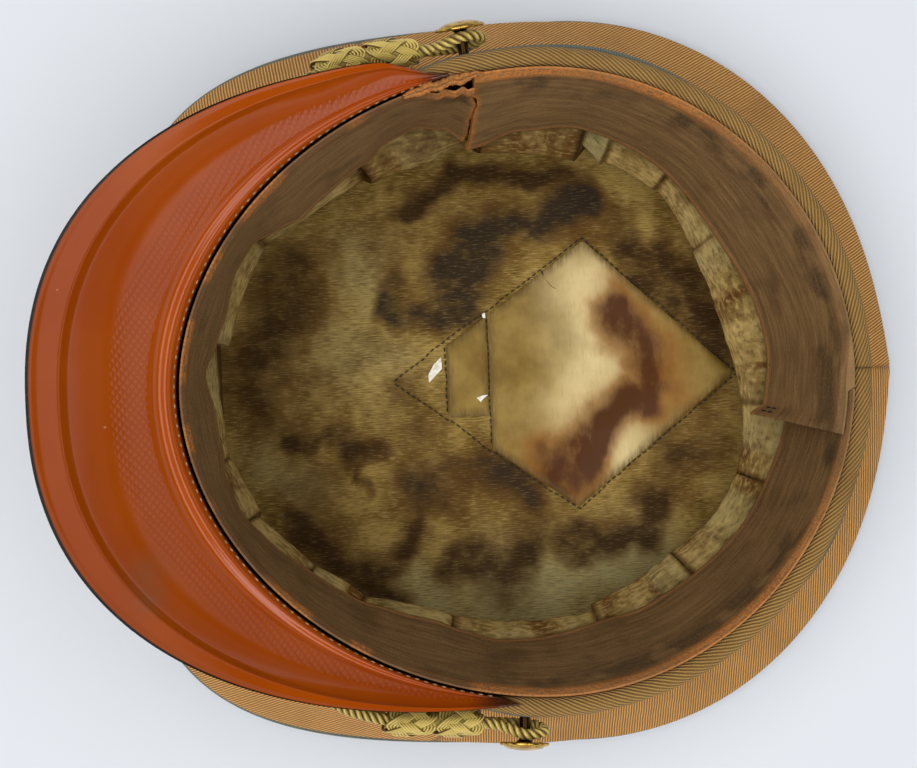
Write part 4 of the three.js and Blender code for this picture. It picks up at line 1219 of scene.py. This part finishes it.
def torn_strip():
    """The sewn edge left behind where the leather tore off: a lumpy roll of raw leather along the rim."""
    t = TORN_STRIP
    angle = np.linspace(t.start, t.end, TORN_GRID.stations)
    path = cap_point(angle, t.grow + uneven("strip_wave", angle), t.height + uneven("strip_level", angle))
    turn = np.arange(TORN_GRID.sides)[None, :] * TORN_GRID.round / TORN_GRID.sides
    lumps = sum((uneven(kind, angle[:, None] * long, turn * short) for kind, long, short in TORN_LUMPS), 1)
    swell = np.sqrt(np.sin(np.pi * np.linspace(t.tip, 1 - t.tip, TORN_GRID.stations)))
    body = rod(path, t.radius * swell[:, None] * lumps, TORN_GRID.sides, UP)
    places = cloth_places(run_length(path)[:, None], turn * TORN_GRID.cloth).reshape(-1, 2)
    uv = np.concatenate([places, np.zeros((2, 2))])
    marks = {"worn": np.ones(len(body.points)), "grime": np.zeros(len(body.points))}
    make_piece("sweatband_torn_edge", body, LEATHER_FINISH, (), uv, marks, t.crease)


def lap_stitches(face, u, share):
    """What is left of the sewing at the lap's free corner."""
    picked = (share[0] > LAP_STITCH.start) & (share[0] < LAP_STITCH.end)
    sewn = []
    for away in LAP_STITCH.rows:
        line = face[np.argmax(u[:, 0] > away)][picked]
        sewn.append(stitches(line, unit(([RIM_CENTRE[0], 0, 0] - line) * LEVEL), LAP_STITCH))
    make_piece("sweatband_stitches", join(sewn), DARK_THREAD)


sweatband("sweatband_main", SWEATBAND_MAIN, LEATHER_GRID.main, none_at, none_at, -1)
lap_stitches(*sweatband("sweatband_rear", SWEATBAND_REAR, LEATHER_GRID.rear, lap_stand, lap_slant, 1))
torn_strip()


# Lining

def leather_lean(angle):
    here = wrapped(angle)
    tear = SWEATBAND_REAR[-1][0]
    main = reading(SWEATBAND_MAIN, np.where(here < tear, here, here - 360))
    return np.where((here > LAP.end) & (here < tear), reading(SWEATBAND_REAR, here), main)


def drawn(controls):
    """A dense path through each row's control points."""
    controls = np.stack(controls, 1)
    parts = []
    for k, count in enumerate(PLEAT.columns):
        share = np.linspace(0, 1, count, endpoint=False)[None, :, None]
        parts.append(lerp(controls[:, k:k + 1], controls[:, k + 1:k + 2], share))
    parts.append(controls[:, -1:])
    return softened(np.concatenate(parts, 1), 1, PLEAT.soft)


def pleat(start, end, reach_start, reach_end, bow, lift):
    f = np.linspace(0, 1, max(PLEAT.least, math.ceil((end - start) / PLEAT.step)))
    arch = np.sin(np.pi * f)
    angle = lerp(start + PLEAT.gap / 2, end - PLEAT.gap / 2, f)
    reach = lerp(reach_start, reach_end, f) + bow * arch + uneven("pleat_reach", angle) * arch
    rise = lift * f + PLEAT.rise * arch + uneven("pleat_rise", angle)
    lean = leather_lean(angle)
    thick = LINING.thick
    behind = (leather_grow(lean, 0, -LINING.top / LEATHER.height) + BAND.outside - BAND.wall) / 2
    shelf = np.minimum(-lean, -reach + LINING.lip_roll)
    under = np.minimum(behind, LINING.clear - lean)
    lip = cap_point(angle, -reach, LINING.lip + rise)
    foot = crown_point(angle, 0, LINING_LEVEL, SIDE_FOOT_SCALE)
    out = unit((foot - lip) * LEVEL)
    hanging = [lip, lerp(lip, foot, LINING_BELLY.at) + LINING_BELLY.out * out, foot]
    face = [
        cap_point(angle, behind - thick / 2, LINING.top),
        cap_point(angle, under - thick / 2, LINING.under),
        cap_point(angle, shelf, LINING.shelf + rise),
    ]
    back = [
        cap_point(angle, behind + thick / 2, LINING.top),
        cap_point(angle, under + thick / 2, LINING.under - thick),
        cap_point(angle, shelf + thick / 2, LINING.shelf + rise - thick),
    ]
    back += [place + thick * out for place in hanging]
    return drawn(face + hanging), drawn(back), np.stack([angle, f], 1)


def lining_side():
    face, back, places = (np.concatenate(parts) for parts in zip(*(pleat(*row) for row in PLEATS)))
    angle, f = places[:, :1], places[:, 1:]
    column = np.arange(face.shape[1])[None, :]
    u = np.radians(angle) * LINING.radius + 0 * column
    v = run_length(face.mean(0))[None, :] + 0 * u
    # Painted shade: darker at each pleat's folded ends, deeper under the lip, and round the left side near
    # the visor
    fold = np.maximum(bell(f, 0, PLEAT_FOLD.first), PLEAT_FOLD.last_share * bell(f, 1, PLEAT_FOLD.last))
    lip = sum(PLEAT.columns[:3])
    deep = smooth(column, lip + PLEAT_SHADE.deep_start, lip + PLEAT_SHADE.deep_end)
    dark = PLEAT_SHADE.side * bell(angle, PLEAT_SHADE.side_at, PLEAT_SHADE.side_spread)
    dark = dark + np.maximum(PLEAT_SHADE.fold * fold, PLEAT_SHADE.deep * deep)
    # Painted sheen on the narrow pleat at row PLEAT_PALE.row; elsewhere pale patches at random
    start, end = PLEATS[PLEAT_PALE.row][:2]
    patches = PLEAT_PALE.patch * smooth(uneven("pleat_pale", u, v), 0, PLEAT_PALE.full)
    pale = np.where((angle > start) & (angle < end), PLEAT_PALE.share, patches)
    marks = {"dark": twice(dark), "pale": twice(pale), "blue": twice(0 * u)}
    uv = twice(cloth_places(u, v))
    body = shell(face, back, True)
    piece = make_piece("lining_side_satin", body, PLEAT_SATIN, PLEAT_NODES, uv, marks)
    area = grid_area(looped(face)) * MM ** 2


def stroke(x, y, way, width):
    """1 on a stroke along a way, fading out at about its width from it."""
    away = np.full(x.shape, np.inf)
    for (x0, y0), (x1, y1) in zip(way[:-1], way[1:]):
        along = ((x - x0) * (x1 - x0) + (y - y0) * (y1 - y0)) / ((x1 - x0) ** 2 + (y1 - y0) ** 2)
        along = np.clip(along, 0, 1)
        away = np.minimum(away, np.hypot(x - lerp(x0, x1, along), y - lerp(y0, y1, along)))
    return bell(away, 0, STROKE_SHARE * width)


def warped(x, y):
    """Places moved about a little, so that a stain's outline wanders."""
    moved = []
    for value, seed in zip((x, y), WANDER_SEEDS):
        for size, amount in STAIN_WANDER:
            value = value + amount * grain(x, y, size, seed + size)
        moved.append(value)
    return moved


def lining_top():
    angle = np.linspace(0, 360, TOP_LINING.stations, endpoint=False)[:, None]
    scale = TOP_LINING.scale * np.linspace(FIRST_RING, 1, TOP_LINING.rings)[None, :]
    under = crown_point(angle, 0, TOP_LINING.z, scale)
    x, y = under[..., 0], under[..., 1]
    covered = smooth(stroke(x, y, SHIELD_COVER.way, SHIELD_COVER.width), *SHIELD_COVER.fade)
    swell = np.abs(uneven("lining_swell", x, y)) + uneven("lining_ripple", x, y)
    over = under + TOP_LINING.thick * UP
    over[..., 2] += swell * (1 - covered) * (1 - smooth(scale, *TOP_LINING.flat))
    wx, wy = warped(x, y)
    marks = {kind: np.zeros(x.shape) for kind in ("dark", "blue", "pale")}
    for kind, width, strength, way in STAINS_SHADE_AND_SHEEN:
        marks[kind] = np.maximum(marks[kind], strength * stroke(wx, wy, way, width))
    marks = {kind: middled(value) for kind, value in marks.items()}
    body = disc(over, under)
    uv = middled(over[..., :2])
    piece = make_piece("lining_top_satin", body, TOP_SATIN, ["lining_top"], uv, marks)
    grid_area(looped(over)) * MM ** 2


lining_side()
lining_top()


# Sweat shield

def shield(name, node, x, low, high):
    """A thin plate between two edges, sewn down round its rim and swelling inside it."""
    x, low, high = x[:, None], low[:, None], high[:, None]
    y = lerp(low, high, np.linspace(0, 1, SHIELD_GRID.columns)[None, :])
    ends = np.minimum(x - x.min(), x.max() - x)
    inside = np.minimum(ends, np.minimum(y - low, high - y) * SHIELD_BULGE.across)
    rise = SHIELD_THICK * smooth(inside, *SHIELD_EDGE)
    rise = rise + SHIELD_BULGE.height * smooth(inside, SHIELD_BULGE.start, SHIELD_BULGE.reach)
    rise = rise + uneven("shield_ripple", x, y) * smooth(inside, 0, SHIELD_BULGE.rippled)
    over = point(x, y, LINING_LEVEL + rise - SHIELD_SUNK.over)
    under = point(x, y, LINING_LEVEL - SHIELD_SUNK.under)
    wx, wy = warped(over[..., 0], over[..., 1])
    stain = sum(share * stroke(wx, wy, SHIELD_STAIN, width) for width, share in SHIELD_STAIN_FADES)
    marks = {
        "dark": twice(stain),
        "grime": twice(1 - smooth(inside, 0, SHIELD_GRIME)),
        "painted_glow": twice(stroke(wx, wy, SHIELD_PAINTED_GLOW, SHIELD_PAINTED_GLOW_WIDTH)),
    }
    make_piece(name, shell(over, under), CELLULOID, [node], twice(over[..., :2]), marks)


def shield_plates():
    m = SHIELD_MAIN
    x = np.linspace(m.left, m.right[0] - m.blunt, SHIELD_GRID.main)
    low, high = (
        np.interp(x, (m.left, corner[0], m.right[0]), (side, corner[1], m.right[1]))
        for side, corner in ((m.left_foot, m.foot), (m.left_top, m.top))
    )
    shield("sweat_shield_plate", "sweat_shield", x, low, high)
    s = SHIELD_STRIP
    x = np.linspace(s.left, s.right, SHIELD_GRID.strip)
    high = np.interp(x, (s.left, s.right), (s.left_top, s.right_top))
    shield("sweat_shield_strip_plate", "sweat_shield_strip", x, np.full(x.shape, float(s.foot)), high)


def shield_seams():
    level = LINING_LEVEL + SHIELD_STITCH.level
    sewn = []
    for corners in SHIELD_SEAM:
        corners = np.array(corners, float)
        ahead = np.arange(0, run_length(corners)[-1], SHIELD_STITCH.step)
        x, y = walk(corners, ahead).T
        line = point(x + uneven("seam_x", ahead), y + uneven("seam_y", ahead), level)
        sewn.append(stitches(line, UP, SHIELD_STITCH))
    make_piece("shield_stitches", join(sewn), DARK_THREAD)


def shield_damage():
    """Chips of celluloid at the torn edge, painted nearly white as glints, and a crack in the plate."""
    chips = []
    for rise, corners in SHIELD_CHIPS:
        corners = np.array(corners, float)
        share = np.linspace(CHIP.first, 1, CHIP.rings)[None, :, None]
        ring = lerp(corners.mean(0), corners[:, None], share)
        under = point(ring[..., 0], ring[..., 1], LINING_LEVEL + rise)
        chips.append(disc(under + CHIP.thick * UP, under))
    make_piece("shield_chips", join(chips), GLINT_CELLULOID)
    way = np.array(SHIELD_CRACK, float)
    ahead = np.linspace(0, run_length(way)[-1], CRACK.points)
    x, y = walk(way, ahead).T
    level = LINING_LEVEL + np.linspace(CRACK.first, CRACK.last, CRACK.points)
    width = CRACK.radius * np.sqrt(np.linspace(1, CRACK.tip, CRACK.points))
    body = rod(point(x + uneven("crack_wave", ahead), y, level), width[:, None], CRACK.sides, UP)
    make_piece("shield_crack", body, DARK_THREAD)


shield_plates()
shield_seams()
shield_damage()


# Chin cord, slides and buttons

def cord_stand(angle):
    return reading(CORD_STAND, np.abs(wrapped(angle - 180)))


def cord_turn(at, way):
    along, out, up = side_frame(np.float64(at))
    stand = cord_stand(at)
    lift = (stand - BAND.outside - BUTTON.clear) * math.tan(math.radians(BUTTON.lean))
    centre = rim_point(at, stand, CORD.height + lift)
    turn = np.radians(CORD_RUN.turn)[:, None]
    splay = CORD.splay * (1 + way * np.sin(turn)) / 2
    loop = way * (CORD.loop * along * np.cos(turn) + CORD.turn * up * np.sin(turn))
    return centre + loop + splay * out


def cord_route():
    left, right = (at for _, at in BUTTONS)
    angle = np.linspace(left + CORD_RUN.lead, right - CORD_RUN.lead, CORD_RUN.points + 1)
    heights = (CORD.height + CORD.spacing / 2, CORD.height - CORD.spacing / 2)
    upper, lower = (rim_point(angle, cord_stand(angle), height) for height in heights)
    return np.concatenate([upper, cord_turn(right, 1), lower[::-1], cord_turn(left, -1)])


def round_curve(route, steps):
    """A closed centripetal curve through the points of a route."""
    made = []
    count = len(route)
    for k in range(count):
        p = [route[(k + i - 1) % count] for i in range(4)]
        roots = np.sqrt(np.linalg.norm(np.diff(p, axis=0), axis=-1))
        knots = np.concatenate([[0], np.cumsum(roots)])
        t = np.linspace(knots[1], knots[2], steps, endpoint=False)[:, None]

        def between(a, b, low, high):
            return (a * (knots[high] - t) + b * (t - knots[low])) / (knots[high] - knots[low])

        a = [between(p[i], p[i + 1], i, i + 1) for i in range(3)]
        b = [between(a[i], a[i + 1], i, i + 2) for i in range(2)]
        made.append(between(b[0], b[1], 1, 2))
    return np.concatenate(made)


def closed_tangent(path):
    return unit(np.roll(path, -1, 0) - np.roll(path, 1, 0))


def ring_rod(path, normal, radius, sides):
    """A round strand along a closed path: its body, its cloth coordinates, and its painted shade, darker
    round its sides.
    """
    rings, turn = tube(path, closed_tangent(path), normal, radius, sides)
    cloth = cloth_places(run_length(path)[:, None], radius * turn[None, :])
    deep = np.broadcast_to(smooth(1 - np.cos(turn), *STRAND_SHADE), cloth.shape[:2])
    return torus(rings), cloth.reshape(-1, 2), deep.ravel()


def gold_piece(name, strands, node):
    bodies, cloths, deep = zip(*strands)
    marks = {"deep": np.concatenate(deep)}
    make_piece(name, join(bodies), GOLD_THREAD, [node], np.concatenate(cloths), marks)


def chin_cord():
    fine = round_curve(cord_route(), CORD_RUN.steps)
    closed = np.concatenate([fine, fine[:1]])
    whole = run_length(closed)[-1]
    turns = round(whole / CORD_STRAND.pitch)
    at = np.linspace(0, whole, turns * CORD_STRAND.steps, endpoint=False)
    middle = walk(closed, at)
    normal, side = ways_across(closed_tangent(middle), unit((middle - [RIM.widest, 0, 0]) * LEVEL))
    strands = []
    for strand in range(CORD_STRAND.count):
        phase = TAU * (turns * np.arange(len(at)) / len(at) + strand / CORD_STRAND.count)
        away = np.cos(phase)[:, None] * normal + np.sin(phase)[:, None] * side
        path = to_cap(middle + CORD_STRAND.offset * away)
        strands.append(ring_rod(path, away, CORD_STRAND.radius, CORD_STRAND.sides))
    gold_piece("chin_cord_rope", strands, "chin_cord")


def slide(name, start, end):
    """A slide of two woven lobes round both runs of the cord, on a plain sleeve."""
    w = SLIDE_WEAVE
    first, last = (rim_point(at, cord_stand(at), 0) for at in (start, end))
    span = np.linalg.norm(last - first)
    reach = span / 4 - w.gauge - w.spread * (w.strands - 1) / 2
    turn = np.linspace(0, TAU * w.leads, w.steps, endpoint=False)
    phase = turn * w.bights / w.leads

    def oval(along, turn, out, up):
        angle = lerp(start, end, along)
        grow = cord_stand(angle) + out * np.cos(turn)
        return cap_point(angle, grow, CORD.height + up * np.sin(turn))

    def place(along, turn, out):
        return oval(along, turn, SLIDE.out_out - 2 * w.gauge + out, SLIDE.out_up - 2 * w.gauge + out)

    strands = []
    for lobe in SLIDE.lobes:
        for strand in range(w.strands):
            offset = w.spread * (strand - (w.strands - 1) / 2)
            along = lobe + (reach * np.cos(phase) + offset) / span
            path = place(along, turn, w.wave * np.sin((w.leads - 1) * phase) - w.pinch * np.cos(phase) ** 2)
            strands.append(ring_rod(path, unit(path - place(along, turn, -w.core)), w.gauge, w.sides))
    s = SLIDE_SLEEVE
    share = np.linspace(s.start, s.end, s.stations)[None, :]
    turn = np.linspace(0, TAU, s.sides, endpoint=False)[:, None]
    sleeve = place(share + 0 * turn, turn, -s.sunk - s.wave * np.cos(TAU * len(SLIDE.lobes) * share))
    bore = oval(share + 0 * turn, turn, SLIDE.bore_out, SLIDE.bore_up)
    cloth = twice(cloth_places(share * span, turn * s.cloth))
    # The sleeve is painted half dark, as shade in the gaps between the strands
    strands.append((shell(sleeve, bore, True), cloth, np.full(len(cloth), s.shade)))
    gold_piece(name + "_weave", strands, name)


def button(name, at):
    """A domed button with a rolled rim, on its shank."""
    b, form = BUTTON, BUTTON_FORM
    crown = b.shank_length + b.rim - form.sunk
    turn = np.linspace(0, np.pi / 2, form.dome)[:-1]
    bead = np.radians(np.linspace(*form.bead))
    roll = b.rim / 2
    profile = np.concatenate([
        [(b.shank, 0), (b.shank, b.shank_length * form.neck), (b.shank * form.flare, b.shank_length)],
        [(b.radius * form.back, b.shank_length)],
        np.stack([b.radius - roll + roll * np.cos(bead), b.shank_length + roll + roll * np.sin(bead)], 1),
        np.stack([(b.radius - form.inset) * np.cos(turn), crown + b.dome * np.sin(turn)], 1),
    ])
    along, out, up = side_frame(np.float64(at))
    lean = math.radians(b.lean)
    axis = out * math.cos(lean) + up * math.sin(lean)
    base = rim_point(at, BAND.outside + b.clear, CORD.height)
    spin = np.linspace(0, TAU, b.sides, endpoint=False)[None, :, None]
    spokes = np.cos(spin) * along + np.sin(spin) * np.cross(axis, along)
    rings = base + profile[:, None, 1:] * axis + profile[:, None, :1] * spokes
    body = capped(to_cap(rings), to_cap(np.stack([base, base + axis * (crown + b.dome)])))
    # Painted shade: the shank and the back of the head, dark under the dome
    shank = np.append(np.repeat(np.arange(len(profile)) < form.dark, b.sides), [True, False])
    make_piece(name + "_metal", body, GILT, [name], marks={"deep": shank}, crease=form.crease)


chin_cord()
for row in SLIDES:
    slide(*row)
for row in BUTTONS:
    button(*row)
